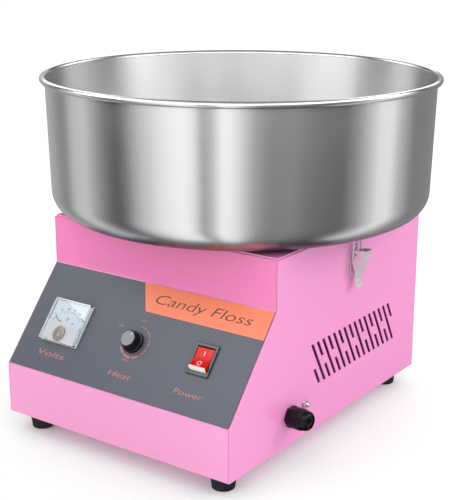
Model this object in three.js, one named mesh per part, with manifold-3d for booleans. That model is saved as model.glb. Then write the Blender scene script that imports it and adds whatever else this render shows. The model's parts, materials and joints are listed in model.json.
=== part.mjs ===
// Table-top cotton candy machine, in millimetres, +Z up.
// A sheet-steel housing with a sloped control panel carries a lift-off stainless bowl, held by a toggle
// latch on each side. An electric motor under the deck spins the heated sugar head in the middle of the bowl.
// The origin is on the floor, at the middle of the machine's outline. The front faces -Y.
import * as THREE from "three";
import { mergeVertices } from "three/addons/utils/BufferGeometryUtils.js";
import Module from "manifold-3d";

// ---------------------------------------------------------------- driving dimensions
const GAP = 0.4; // air between neighbouring pieces
const SHEET = 1.2; // sheet steel of the housing and the bowl
const BIG = 1000; // longer than any piece, for cutting tools

const BOWL_RADIUS = 260; // outside of the rolled rim
const FRONT_Y = -264.5; // face of the lower fascia
const AXIS_Y = -FRONT_Y - BOWL_RADIUS; // spin axis: the bowl's back and the fascia are equally far from the origin
const NECK_Y = AXIS_Y - 174; // face of the upper fascia
const REAR_Y = AXIS_Y + 182; // outside of the rear panel
const HOUSING_WIDTH = 350;
const FOOT_HEIGHT = 24;
const BASE_Z = FOOT_HEIGHT;
const FASCIA_TOP_Z = BASE_Z + 66; // top of the lower fascia, where the control panel starts
const SLOPE_TOP_Z = BASE_Z + 179.5; // top of the control panel
const WALL_TOP_Z = BASE_Z + 241;
const DECK_Z = WALL_TOP_Z + 2.5; // top of the deck
const BOWL_FLOOR_Z = DECK_Z + 3; // underside of the bowl
const RIM_Z = BASE_Z + 421; // centre of the rim's bead

const WALL_X = HOUSING_WIDTH / 2; // outside of the side panels
const INSIDE_X = WALL_X - SHEET - GAP; // outside of what is fitted between the side panels
const FLANGE = 12; // turned edges of the sheet parts
const SLOPE_ANGLE = Math.atan2(SLOPE_TOP_Z - FASCIA_TOP_Z, NECK_Y - FRONT_Y);
const SLOPE_LENGTH = Math.hypot(SLOPE_TOP_Z - FASCIA_TOP_Z, NECK_Y - FRONT_Y);

const SIDES_LARGE = 48; // facets of the bowl
const SIDES = 24; // facets of the turned parts
const SIDES_SMALL = 12; // facets of pins, holes and feet

// ---------------------------------------------------------------- materials
const finish = (color, roughness, metalness) =>
  new THREE.MeshStandardMaterial({ color, roughness, metalness });
const pinkPaint = finish(0xf48fc8, 0.35, 0.0);
const stainless = finish(0xc4c4c6, 0.25, 1.0);
const zincPlate = finish(0xd2d2d6, 0.3, 1.0);
const castAluminium = finish(0xb4b6ba, 0.4, 1.0);
const overlayGrey = finish(0x6f757b, 0.5, 0.1);
const blackRubber = finish(0x161618, 0.8, 0.0);
const blackNylon = finish(0x1b1c1e, 0.5, 0.0);
const greyPlastic = finish(0xa7adb3, 0.4, 0.0);
const redPlastic = finish(0xe0201c, 0.2, 0.0);
const clearPlastic = finish(0xe8eef2, 0.1, 0.0);
const dialCard = finish(0xf2f6f8, 0.6, 0.0);
const copper = finish(0xb8704a, 0.35, 1.0);
const carbon = finish(0x2a2a2c, 0.7, 0.1);
const heaterAlloy = finish(0x6b625c, 0.5, 0.9);
const whiteSilicone = finish(0xe6e4de, 0.7, 0.0);
const boardGreen = finish(0x2f6b46, 0.5, 0.0);
const motorPaint = finish(0x3a3d42, 0.5, 0.3);

// ---------------------------------------------------------------- making shapes
const wasm = await Module();
wasm.setup();

/** A closed three.js geometry as a manifold-3d solid. */
function solidOf(geometry) {
  const bare = geometry.clone();
  bare.deleteAttribute("normal");
  bare.deleteAttribute("uv");
  const merged = mergeVertices(bare, 1e-4);
  const vertProperties = merged.attributes.position.array;
  const corners = [];
  for (let i = 0; i < merged.index.count; i += 3) {
    const [a, b, c] = merged.index.array.slice(i, i + 3);
    if (a !== b && b !== c && c !== a) corners.push(a, b, c);
  }
  const triVerts = new Uint32Array(corners);
  return new wasm.Manifold(new wasm.Mesh({ numProp: 3, vertProperties, triVerts }));
}

/** A manifold-3d solid as a three.js geometry. */
function geometryOf(solid) {
  const mesh = solid.getMesh();
  return new THREE.BufferGeometry()
    .setAttribute("position", new THREE.BufferAttribute(mesh.vertProperties, 3))
    .setIndex(new THREE.BufferAttribute(mesh.triVerts, 1));
}

/** The geometries joined into one body. */
function join(first, ...others) {
  return geometryOf(others.reduce((sum, one) => sum.add(solidOf(one)), solidOf(first)));
}

/** The geometry with the tools cut away. */
function cut(geometry, ...tools) {
  return geometryOf(tools.reduce((left, tool) => left.subtract(solidOf(tool)), solidOf(geometry)));
}

/** A box from its lowest and highest corners. */
function block([x0, y0, z0], [x1, y1, z1]) {
  return new THREE.BoxGeometry(x1 - x0, y1 - y0, z1 - z0).translate((x0 + x1) / 2, (y0 + y1) / 2, (z0 + z1) / 2);
}

/** A piece turned about Z from its [radius, height] outline, which closes on itself or starts and ends on the axis. */
function turned(outline, sides = SIDES) {
  const points = outline.map(([r, z]) => new THREE.Vector2(r, z));
  if (outline[0][0] > 0) points.push(points[0].clone());
  if (THREE.ShapeUtils.area(points) < 0) points.reverse();
  return new THREE.LatheGeometry(points, sides).rotateX(Math.PI / 2);
}

/** A washer or tube about Z, between two radii and two heights. */
function ring(inner, outer, low, high, sides = SIDES) {
  return turned([[inner, low], [outer, low], [outer, high], [inner, high]], sides);
}

/** A solid rod about Z. */
function rod(radius, low, high, sides = SIDES_SMALL) {
  return turned([[0, low], [radius, low], [radius, high], [0, high]], sides);
}

/** A hexagonal prism about Z, by its width across the flats. */
function hexagon(acrossFlats, low, high) {
  return rod(acrossFlats / Math.sqrt(3), low, high, 6);
}

const shapeOf = (points) => new THREE.Shape(points.map(([a, b]) => new THREE.Vector2(a, b)));
const extruded = (shape, depth) => new THREE.ExtrudeGeometry(shape, { depth, bevelEnabled: false, curveSegments: 8 });
const YZ_TO_X = new THREE.Matrix4().makeBasis(
  new THREE.Vector3(0, 1, 0), new THREE.Vector3(0, 0, 1), new THREE.Vector3(1, 0, 0));
const ZX_TO_Y = new THREE.Matrix4().makeBasis(
  new THREE.Vector3(0, 0, 1), new THREE.Vector3(1, 0, 0), new THREE.Vector3(0, 1, 0));

/** A (y, z) shape as a plate that runs from x0 to x1. */
const acrossX = (shape, x0, x1) => extruded(shape, x1 - x0).applyMatrix4(YZ_TO_X).translate(x0, 0, 0);

/** An outline of (x, z) points as a plate that runs from y0 to y1. */
const acrossY = (points, y0, y1) =>
  extruded(shapeOf(points.map(([x, z]) => [z, x])), y1 - y0).applyMatrix4(ZX_TO_Y).translate(0, y0, 0);

/** A round hole or rod along X, centred on (y, z). */
const alongX = (radius, x0, x1, y, z, sides = SIDES_SMALL) =>
  rod(radius, x0, x1, sides).rotateY(Math.PI / 2).translate(0, y, z);

/** A round hole or rod along Y, centred on (x, z). */
const alongY = (radius, y0, y1, x, z, sides = SIDES_SMALL) =>
  rod(radius, -y1, -y0, sides).rotateX(Math.PI / 2).translate(x, 0, z);

/** A path of points moved sideways, to its right, with mitred corners. */
function offsetPath(points, distance) {
  const normals = points.slice(1).map(([x1, y1], i) => {
    const [x0, y0] = points[i];
    const length = Math.hypot(x1 - x0, y1 - y0);
    return [(y1 - y0) / length, (x0 - x1) / length];
  });
  return points.map(([x, y], i) => {
    const [ax, ay] = normals[Math.max(i - 1, 0)];
    const [bx, by] = normals[Math.min(i, normals.length - 1)];
    const scale = distance / (1 + ax * bx + ay * by);
    return [x + (ax + bx) * scale, y + (ay + by) * scale];
  });
}

/** The closed outline of a strip of the given thickness on the right of a path. */
const strip = (path, thickness) => [...path, ...offsetPath(path, thickness).reverse()];

/** A round wire through the points, with a ball at each corner. */
function wire(points, radius) {
  const up = new THREE.Vector3(0, 0, 1);
  const parts = points.slice(1).map((end, i) => {
    const start = points[i];
    const along = end.clone().sub(start);
    const turn = new THREE.Quaternion().setFromUnitVectors(up, along.clone().normalize());
    const leg = rod(radius, 0, along.length(), 8).applyQuaternion(turn);
    return leg.translate(start.x, start.y, start.z);
  });
  const balls = points.slice(1, -1).map((p) => new THREE.SphereGeometry(radius, 8, 4).translate(p.x, p.y, p.z));
  return join(...parts, ...balls);
}

/** A piece modelled about the Z axis, moved onto the spin axis. */
const centred = (geometry) => geometry.translate(0, AXIS_Y, 0);

const machine = new THREE.Group();

/** Adds one named piece to a group. */
function add(parent, name, geometry, material) {
  const mesh = new THREE.Mesh(geometry, material);
  mesh.name = name;
  parent.add(mesh);
  return mesh;
}

// ---------------------------------------------------------------- housing
const VENT_TOP_Z = BASE_Z + 115;
const VENT_LOW_Z = BASE_Z + 59;
const VENT_FRONT_Y = AXIS_Y - 107.3; // where the first column would meet the vent's top line
const VENT_COLUMNS = 17;
const VENT_PITCH = 12.9;
const VENT_SLOT = 6; // slot width along Y
const VENT_LEAN = 0.56; // how far a slot runs to the rear for each millimetre down
const VENT_SHORT = 21.5; // height of a short slot

const GLAND_Y = AXIS_Y - 143.2;
const GLAND_Z = BASE_Z + 38;
const GLAND_THREAD_RADIUS = 9.6;
const EARTH_Y = AXIS_Y - 110.5;
const EARTH_Z = BASE_Z + 42.2;
const EARTH_RADIUS = 2.5;

/** The side panels' outline in (y, z). */
const sideOutline = () => [
  [FRONT_Y, BASE_Z], [REAR_Y, BASE_Z], [REAR_Y, WALL_TOP_Z],
  [NECK_Y, WALL_TOP_Z], [NECK_Y, SLOPE_TOP_Z], [FRONT_Y, FASCIA_TOP_Z],
];

/** One leaning vent slot, cut level at both ends. */
function ventSlot(column, low, high) {
  const front = (z) => VENT_FRONT_Y + column * VENT_PITCH + (VENT_TOP_Z - z) * VENT_LEAN - VENT_SLOT / 2;
  return shapeOf([
    [front(low), low], [front(low) + VENT_SLOT, low], [front(high) + VENT_SLOT, high], [front(high), high],
  ]);
}

/** Full-height slots in the odd columns, and two short ones in the even columns, as far as the outline allows. */
function ventSlots() {
  const slots = [];
  for (let column = 0; column < VENT_COLUMNS; column++) {
    if (column % 2) {
      slots.push(ventSlot(column, VENT_LOW_Z, VENT_TOP_Z));
      continue;
    }
    if (column > 0) slots.push(ventSlot(column, VENT_TOP_Z - VENT_SHORT, VENT_TOP_Z));
    if (column < VENT_COLUMNS - 1) slots.push(ventSlot(column, VENT_LOW_Z, VENT_LOW_Z + VENT_SHORT));
  }
  return slots;
}

function sidePanel(x0) {
  const slots = ventSlots().map((slot) => acrossX(slot, x0 - SHEET, x0 + 2 * SHEET));
  return cut(acrossX(shapeOf(sideOutline()), x0, x0 + SHEET), ...slots);
}

function addSidePanels() {
  add(machine, "side_panel_left", sidePanel(-WALL_X), pinkPaint);
  const right = cut(
    sidePanel(WALL_X - SHEET),
    alongX(GLAND_THREAD_RADIUS + GAP, 0, BIG, GLAND_Y, GLAND_Z, SIDES),
    alongX(EARTH_RADIUS + GAP, 0, BIG, EARTH_Y, EARTH_Z),
  );
  add(machine, "side_panel_right", right, pinkPaint);
}

const SIDE_FLANGE_LOW_Z = BASE_Z + FLANGE + 2;
const SIDE_FLANGE_HIGH_Z = WALL_TOP_Z - FLANGE - 3;

/** One folded sheet: lower fascia, control slope and upper fascia, with a turned edge along each side panel. */
function addFrontCasing() {
  const face = (low, high) => [[NECK_Y, high], [NECK_Y, SLOPE_TOP_Z], [FRONT_Y, FASCIA_TOP_Z], [FRONT_Y, low]];
  const sheet = acrossX(shapeOf(strip(face(BASE_Z, WALL_TOP_Z), -SHEET)), -INSIDE_X, INSIDE_X);
  const edge = shapeOf(strip(face(SIDE_FLANGE_LOW_Z, SIDE_FLANGE_HIGH_Z), -FLANGE));
  const folded = join(sheet, acrossX(edge, -INSIDE_X, SHEET - INSIDE_X), acrossX(edge, INSIDE_X - SHEET, INSIDE_X));
  const tools = panelCutouts(CASING_HOLE_EXTRA, -5, 5).map((tool) => tool.applyMatrix4(panel.matrix));
  add(machine, "front_casing", cut(folded, ...tools), pinkPaint);
}

const REAR_SLOT_HEIGHT = 46;
const REAR_SLOT_PITCH = 13;
const REAR_SLOTS = 9;

function addRearPanel() {
  const inner = REAR_Y - SHEET;
  const plate = block([-INSIDE_X, inner, BASE_Z], [INSIDE_X, REAR_Y, WALL_TOP_Z]);
  const edge = (x0) =>
    block([x0, REAR_Y - FLANGE, SIDE_FLANGE_LOW_Z], [x0 + SHEET, inner + SHEET / 2, SIDE_FLANGE_HIGH_Z]);
  const slots = Array.from({ length: REAR_SLOTS }, (_, i) => {
    const x = (i - (REAR_SLOTS - 1) / 2) * REAR_SLOT_PITCH;
    const half = VENT_SLOT / 2;
    return block([x - half, inner - 1, VENT_LOW_Z], [x + half, REAR_Y + 1, VENT_LOW_Z + REAR_SLOT_HEIGHT]);
  });
  add(machine, "rear_panel", cut(join(plate, edge(-INSIDE_X), edge(INSIDE_X - SHEET)), ...slots), pinkPaint);
}

const DECK_HOLE_RADIUS = 34;
const FOOT_INSET = 29;
const FOOT_SCREW_RADIUS = 2.6;
const footPlaces = {
  front_left: [-WALL_X + FOOT_INSET, FRONT_Y + FOOT_INSET],
  front_right: [WALL_X - FOOT_INSET, FRONT_Y + FOOT_INSET],
  rear_left: [-WALL_X + FOOT_INSET, REAR_Y - FOOT_INSET],
  rear_right: [WALL_X - FOOT_INSET, REAR_Y - FOOT_INSET],
};

/** A shallow tray: a flat sheet whose four edges are turned through a right angle. */
function tray(y0, y1, low, high, opensUp) {
  const inner = opensUp ? [low + SHEET, BIG] : [-BIG, high - SHEET];
  return cut(
    block([-INSIDE_X, y0, low], [INSIDE_X, y1, high]),
    block([-INSIDE_X + SHEET, y0 + SHEET, inner[0]], [INSIDE_X - SHEET, y1 - SHEET, inner[1]]),
  );
}

function addDeckAndBase() {
  const inset = SHEET + GAP;
  const deck = tray(NECK_Y + inset, REAR_Y - inset, DECK_Z - SHEET - FLANGE, DECK_Z, false);
  add(machine, "top_deck", cut(deck, centred(rod(DECK_HOLE_RADIUS, 0, BIG, SIDES))), pinkPaint);

  const base = tray(FRONT_Y + inset, REAR_Y - inset, BASE_Z, BASE_Z + SHEET + FLANGE, true);
  const screwHoles = Object.values(footPlaces).map(([x, y]) => rod(FOOT_SCREW_RADIUS, 0, BIG, 8).translate(x, y, 0));
  const airSlots = [-45, -27, -9, 9, 27, 45].map((x) => block([x - 4, AXIS_Y - 35, 0], [x + 4, AXIS_Y + 35, BIG / 10]));
  add(machine, "base_plate", cut(base, ...screwHoles, ...airSlots), pinkPaint);
}

function addFeet() {
  const top = FOOT_HEIGHT - GAP;
  const outline = [[0, 13], [4.5, 13], [4.5, 0], [14, 0], [15, 1], [17, top], [0, top]];
  for (const [place, [x, y]] of Object.entries(footPlaces)) {
    add(machine, `foot_${place}`, turned(outline, SIDES_SMALL).translate(x, y, 0), blackRubber);
  }
}

// ---------------------------------------------------------------- control panel
// The panel group's X runs to the right, its Y up the slope from the fold, and its Z straight out of it.
const CONTROLS_Y = 70; // the voltmeter and the switch are level
const METER = { x: -109, width: 60, height: 57, barrelRadius: 24.5, low: 1.6, flange: 2, top: 9.6 };
const KNOB = { x: 0.6, y: CONTROLS_Y - 1.4, skirtRadius: 14.2, topRadius: 11, capRadius: 9.6, low: 2, top: 15.6, bushRadius: 4.6, shaftRadius: 3 };
const SWITCH = { x: 105.7, width: 32, height: 40, flange: 2.2, rockerWidth: 24.4, rockerRadius: 15.2 };
const OVERLAY = { low: GAP, thick: 0.8, edge: 1.3 };
const OVERLAY_TOP = OVERLAY.low + OVERLAY.thick;
const CASING_HOLE_EXTRA = 0.8;
const OVERLAY_HOLE_EXTRA = 0.6;

const panel = new THREE.Group();
panel.position.set(0, FRONT_Y, FASCIA_TOP_Z);
panel.rotation.x = SLOPE_ANGLE;
panel.updateMatrix();
machine.add(panel);

/** Tools for the three openings that the controls stand in, a little larger than their bodies. */
function panelCutouts(extra, low, high) {
  const width = SWITCH.width / 2 - 2.2 + extra;
  const height = SWITCH.height / 2 - 2.2 + extra;
  return [
    rod(METER.barrelRadius + extra, low, high, SIDES).translate(METER.x, CONTROLS_Y, 0),
    rod(KNOB.bushRadius + extra, low, high).translate(KNOB.x, KNOB.y, 0),
    block([SWITCH.x - width, CONTROLS_Y - height, low], [SWITCH.x + width, CONTROLS_Y + height, high]),
  ];
}

function addOverlay() {
  const sheet = block(
    [-INSIDE_X + 0.3, OVERLAY.edge, OVERLAY.low],
    [INSIDE_X - 0.3, SLOPE_LENGTH - OVERLAY.edge, OVERLAY_TOP],
  );
  add(panel, "control_overlay", cut(sheet, ...panelCutouts(OVERLAY_HOLE_EXTRA, -5, 5)), overlayGrey);
}

const NEEDLE_PIVOT_Y = CONTROLS_Y - 12;
const NEEDLE_LENGTH = 27;
const NEEDLE_REST = THREE.MathUtils.degToRad(139); // the needle's direction at zero, from the panel's X
const ZERO_SCREW_Y = CONTROLS_Y - 20;

/** A moving-iron voltmeter: case with its barrel behind the panel, scale card, pointer and clear cover. */
function addMeter() {
  const { x, width, height, barrelRadius, low, flange, top } = METER;
  const seat = low + flange;
  const around = (inset, z0, z1) => block(
    [x - width / 2 + inset, CONTROLS_Y - height / 2 + inset, z0],
    [x + width / 2 - inset, CONTROLS_Y + height / 2 - inset, z1],
  );
  const barrel = rod(barrelRadius, -32, low + 1, SIDES).translate(x, CONTROLS_Y, 0);
  add(panel, "meter_case", join(around(0, low, seat), barrel), blackNylon);
  add(panel, "meter_dial", around(3.5, seat + GAP, seat + GAP + 0.6), dialCard);
  const screwHole = rod(2.6 + GAP, seat, BIG / 10).translate(x, ZERO_SCREW_Y, 0);
  add(panel, "meter_cover", cut(around(0, seat + GAP, top), around(1.7, 0, top - 1.7), screwHole), clearPlastic);
  add(panel, "meter_zero_screw", rod(2.6, top - 2.2, top + 0.6).translate(x, ZERO_SCREW_Y, 0), blackNylon);

  const blade = shapeOf([[-5, -1], [0, -0.9], [NEEDLE_LENGTH, -0.35], [NEEDLE_LENGTH, 0.35], [0, 0.9], [-5, 1]]);
  const needle = join(extruded(blade, 0.5).translate(0, 0, 0.7), rod(2.2, 0, 2));
  needle.rotateZ(NEEDLE_REST).translate(x, NEEDLE_PIVOT_Y, seat + 1.4);
  add(panel, "meter_needle", needle, carbon);
}

/** The heat control: a potentiometer behind the panel, its shaft, and the knob with its inlaid cap. */
function addHeatControl() {
  const { skirtRadius, topRadius, capRadius, low, top, bushRadius, shaftRadius } = KNOB;
  const behind = -SHEET - GAP;
  const bore = shaftRadius + GAP;
  const bushTop = 7;
  const shaftTop = top - 3.6;
  const recess = 8.6;
  const place = (geometry) => geometry.translate(KNOB.x, KNOB.y, 0);
  const body = turned([
    [bore, behind - 14], [12, behind - 14], [12, behind], [bushRadius, behind], [bushRadius, bushTop], [bore, bushTop],
  ]);
  add(panel, "pot_body", place(body), zincPlate);
  add(panel, "pot_shaft", place(rod(shaftRadius, behind - 16, shaftTop)), zincPlate);
  const knob = turned([
    [0, top - 1.2], [capRadius + GAP, top - 1.2], [capRadius + GAP, top - 0.2], [topRadius - 0.8, top - 0.2],
    [topRadius, top - 1.2], [skirtRadius, low], [recess, low], [recess, bushTop + 0.6], [bore, bushTop + 0.6],
    [bore, shaftTop + GAP], [0, shaftTop + GAP],
  ]);
  add(panel, "knob", place(knob), blackNylon);
  add(panel, "knob_cap", place(rod(capRadius, top - 0.8, top + 0.4, SIDES)), greyPlastic);
}

const ROCKER_TILT = THREE.MathUtils.degToRad(11);
const ROCKER_PIVOT_Z = -1;

/** The mains switch: a snap-in housing with a bezel, and a rocker whose ends are arcs about its pivot. */
function addSwitch() {
  const { x, width, height, flange, rockerWidth, rockerRadius } = SWITCH;
  const low = OVERLAY_TOP + GAP;
  const box = (halfWidth, halfHeight, z0, z1) =>
    block([x - halfWidth, CONTROLS_Y - halfHeight, z0], [x + halfWidth, CONTROLS_Y + halfHeight, z1]);
  const housing = join(
    box(width / 2, height / 2, low, low + flange),
    box(width / 2 - 2.2, height / 2 - 2.2, -24, low + 0.5),
  );
  const pocket = box(rockerWidth / 2 + GAP, rockerRadius + GAP, ROCKER_PIVOT_Z - 11, BIG / 10);
  add(panel, "switch_housing", cut(housing, pocket), blackNylon);

  const topAngle = THREE.MathUtils.degToRad(28);
  const lowAngle = THREE.MathUtils.degToRad(25);
  const shape = new THREE.Shape();
  shape.absarc(0, 0, rockerRadius, -lowAngle, topAngle);
  shape.lineTo(0, 4.4);
  shape.absarc(0, 0, rockerRadius, Math.PI - topAngle, Math.PI + lowAngle);
  const rocker = acrossX(shape, -rockerWidth / 2, rockerWidth / 2).rotateX(-ROCKER_TILT);
  add(panel, "switch_rocker", rocker.translate(x, CONTROLS_Y, ROCKER_PIVOT_Z), redPlastic);
}

// ---------------------------------------------------------------- right side fittings
/** A turned or six-sided fitting's axis laid along X, starting at the outside of the right panel. */
const onRightPanel = (geometry, y, z) => geometry.rotateY(Math.PI / 2).translate(WALL_X, y, z);

function addGland() {
  const hex = 24;
  const inside = -SHEET - GAP;
  const place = (geometry) => onRightPanel(geometry, GLAND_Y, GLAND_Z);
  const body = join(rod(GLAND_THREAD_RADIUS, -14, 20, SIDES), hexagon(hex, GAP, 7));
  add(machine, "gland_body", place(cut(body, rod(6.2, -BIG, BIG))), blackNylon);
  const locknut = cut(hexagon(hex, inside - 5, inside), rod(GLAND_THREAD_RADIUS + GAP, -BIG, BIG, SIDES));
  add(machine, "gland_locknut", place(locknut), blackNylon);
  const dome = turned([
    [10, 7.4], [13.2, 7.4], [13.4, 12], [13.4, 20], [12.4, 25.5], [10.6, 28.9], [8.6, 30], [7.6, 30], [7.6, 23], [10, 21],
  ]);
  add(machine, "gland_dome_nut", place(dome), blackNylon);
  add(machine, "gland_seal", place(ring(4.2, 7.2, 20.4, 28.4, SIDES_SMALL)), blackRubber);
}

function addEarthTerminal() {
  const inside = -SHEET - GAP;
  const place = (geometry) => onRightPanel(geometry, EARTH_Y, EARTH_Z);
  add(machine, "earth_screw", place(join(rod(EARTH_RADIUS, inside - 1, 7.6), hexagon(8, inside - 4, inside))), zincPlate);
  const nut = join(rod(5.4, GAP, 1.6), hexagon(8, 1, 4.8));
  add(machine, "earth_nut", place(cut(nut, rod(EARTH_RADIUS + GAP, -BIG, BIG))), zincPlate);
}

// ---------------------------------------------------------------- toggle latches
// In (x, z): x is measured outward from the side panel.
const LATCH_HINGE = [8, WALL_TOP_Z - 31];
const BAIL_PIVOT = [4.6, WALL_TOP_Z - 36.5];
const BAIL_TOP = [6.5, BOWL_FLOOR_Z - 8.4];
const PIN_RADIUS = 1.5;
const WIRE_RADIUS = 1.2;
const CHEEK_INSIDE = 6.4;
const CHEEK_OUTSIDE = 7.6;
const BAIL_HALF = 9.4; // from the latch's middle to the middle of each leg of the bail
const FIT = 0.35; // clearance around a pin

/** One over-centre latch and the catch that its wire bail pulls on, on a given side. */
function addLatch(side, turn) {
  const latch = new THREE.Group();
  latch.position.set(0, AXIS_Y, 0);
  latch.rotation.z = turn;
  machine.add(latch);
  const out = ([x, z]) => [WALL_X + x, z];
  const hole = (radius, at) => alongY(radius + FIT, -BIG, BIG, ...out(at), 12);
  const low = WALL_TOP_Z - 61;
  const plate = block([WALL_X + 0.3, -9, low], [WALL_X + 1.8, 9, WALL_TOP_Z - 22]);
  const ear = [[0.3, -37], [0.3, -30.6], [5, -28.3], [7.4, -27.6], [10, -28.2], [11.4, -31], [9.6, -34.6]]
    .map(([x, z]) => out([x, WALL_TOP_Z + z]));
  const base = join(plate, acrossY(ear, -5.6, -4.4), acrossY(ear, 4.4, 5.6));
  add(latch, `latch_base_${side}`, cut(base, hole(PIN_RADIUS, LATCH_HINGE)), zincPlate);
  const pin = alongY(PIN_RADIUS, -CHEEK_OUTSIDE - 0.2, CHEEK_OUTSIDE + 0.2, ...out(LATCH_HINGE), 12);
  add(latch, `latch_pin_${side}`, pin, zincPlate);

  const face = [[22.4, -24.5], [15.1, -44.4], [7.9, -64], [11.2, -74]].map(([x, z]) => out([x, WALL_TOP_Z + z]));
  const cheek = [
    [2.6, -42], [2.6, -34], [4.2, -28], [7, -25.8], [11, -25], [20.6, -23.8], [22.1, -25], [15, -44.4], [9.8, -58.6], [8.6, -58.6],
  ].map(([x, z]) => out([x, WALL_TOP_Z + z]));
  const lever = join(
    acrossY(strip(face, 1.2), -CHEEK_OUTSIDE, CHEEK_OUTSIDE),
    acrossY(cheek, -CHEEK_OUTSIDE, -CHEEK_INSIDE),
    acrossY(cheek, CHEEK_INSIDE, CHEEK_OUTSIDE),
  );
  const drilled = cut(lever, hole(PIN_RADIUS, LATCH_HINGE), hole(WIRE_RADIUS, BAIL_PIVOT));
  add(latch, `latch_lever_${side}`, drilled, zincPlate);

  const at = ([x, z], y) => new THREE.Vector3(WALL_X + x, y, z);
  const bail = wire([
    at(BAIL_PIVOT, CHEEK_INSIDE - 0.4), at(BAIL_PIVOT, BAIL_HALF), at(BAIL_TOP, BAIL_HALF),
    at(BAIL_TOP, -BAIL_HALF), at(BAIL_PIVOT, -BAIL_HALF), at(BAIL_PIVOT, 0.4 - CHEEK_INSIDE),
  ], WIRE_RADIUS);
  add(latch, `latch_bail_${side}`, bail, zincPlate);

  const top = BOWL_FLOOR_Z - GAP;
  const ledge = BAIL_TOP[1] - WIRE_RADIUS - 0.7;
  const hook = [[14, top], [2.4, top], [2.4, ledge - SHEET], [10, ledge - SHEET], [10, ledge],
    [3.6, ledge], [3.6, top - SHEET], [14, top - SHEET]].map(out);
  add(latch, `bowl_catch_${side}`, acrossY(hook, -7, 7), stainless);
}

// ---------------------------------------------------------------- bowl
const BEAD_RADIUS = 4;
const BEAD_CENTRE = BOWL_RADIUS - BEAD_RADIUS;
const CORNER_RADIUS = 30;
const WALL_FOOT_RADIUS = 248.3; // inside of the wall where it meets the corner
const BOWL_HOLE_RADIUS = 95;

function addBowl() {
  const floor = BOWL_FLOOR_Z + SHEET;
  const curve = new THREE.Path();
  curve.moveTo(BOWL_HOLE_RADIUS, floor);
  curve.lineTo(WALL_FOOT_RADIUS - CORNER_RADIUS, floor);
  curve.absarc(WALL_FOOT_RADIUS - CORNER_RADIUS, floor + CORNER_RADIUS, CORNER_RADIUS, -Math.PI / 2, 0);
  curve.absarc(BEAD_CENTRE, RIM_Z, BEAD_RADIUS, Math.PI, THREE.MathUtils.degToRad(-130), true);
  const inside = curve.getPoints(3).map((p) => [p.x, p.y]);
  const unique = inside.filter(([r, z], i) => i === 0 || Math.hypot(r - inside[i - 1][0], z - inside[i - 1][1]) > 0.01);
  add(machine, "bowl", centred(turned(strip(unique, SHEET), SIDES_LARGE)), stainless);
  const hole = BOWL_HOLE_RADIUS - 2 * GAP;
  const seat = turned([
    [hole - 4, DECK_Z + GAP], [112, DECK_Z + GAP], [112, BOWL_FLOOR_Z - GAP], [hole, BOWL_FLOOR_Z - GAP],
    [hole, floor + 2], [hole - 4, floor + 2],
  ], SIDES_LARGE / 2);
  add(machine, "bowl_seat", centred(seat), whiteSilicone);
}

// ---------------------------------------------------------------- motor and slip rings
const SHAFT_RADIUS = 6;
const SHAFT_BORE = SHAFT_RADIUS + GAP;
const SHAFT_LOW_Z = 98;
const MOTOR_LOW_Z = 118;
const MOTOR_TOP_Z = 208;
const MOTOR_RADIUS = 42;
const BEARING_RADIUS = 11;
const BEARING_HEIGHT = 8;
const BRACKET_THICK = 2.5;
const BRACKET_Z = MOTOR_TOP_Z + GAP; // underside of the bracket's plate
const DRUM_Z = BRACKET_Z + BRACKET_THICK + 9;
const DRUM_HEIGHT = 34;
const SLIP_RADIUS = 21;
const SLIP_HEIGHT = 7;
const SLIP_LOW_Z = DRUM_Z + 6;
const SLIP_HIGH_Z = DRUM_Z + 21;

function addMotor() {
  const bore = BEARING_RADIUS + GAP;
  const motor = turned([
    [bore, MOTOR_LOW_Z], [30, MOTOR_LOW_Z], [34, MOTOR_LOW_Z + 10], [MOTOR_RADIUS, MOTOR_LOW_Z + 14],
    [MOTOR_RADIUS, MOTOR_TOP_Z - 14], [34, MOTOR_TOP_Z - 10], [30, MOTOR_TOP_Z], [bore, MOTOR_TOP_Z],
  ]);
  add(machine, "motor", centred(motor), motorPaint);
  add(machine, "bearing_lower", centred(ring(SHAFT_BORE, BEARING_RADIUS, MOTOR_LOW_Z, MOTOR_LOW_Z + BEARING_HEIGHT)), zincPlate);
  add(machine, "bearing_upper", centred(ring(SHAFT_BORE, BEARING_RADIUS, MOTOR_TOP_Z - BEARING_HEIGHT, MOTOR_TOP_Z)), zincPlate);

  const plateTop = BRACKET_Z + BRACKET_THICK;
  const posts = [[-54, -44], [54, -44], [-54, 44], [54, 44]]
    .map(([x, y]) => rod(5, plateTop - 1, DECK_Z - SHEET - GAP, 12).translate(x, y, 0));
  const bracket = join(block([-62, -52, BRACKET_Z], [62, 52, plateTop]), ...posts);
  add(machine, "motor_bracket", centred(cut(bracket, rod(16, 0, BIG, SIDES))), zincPlate);
}

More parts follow.
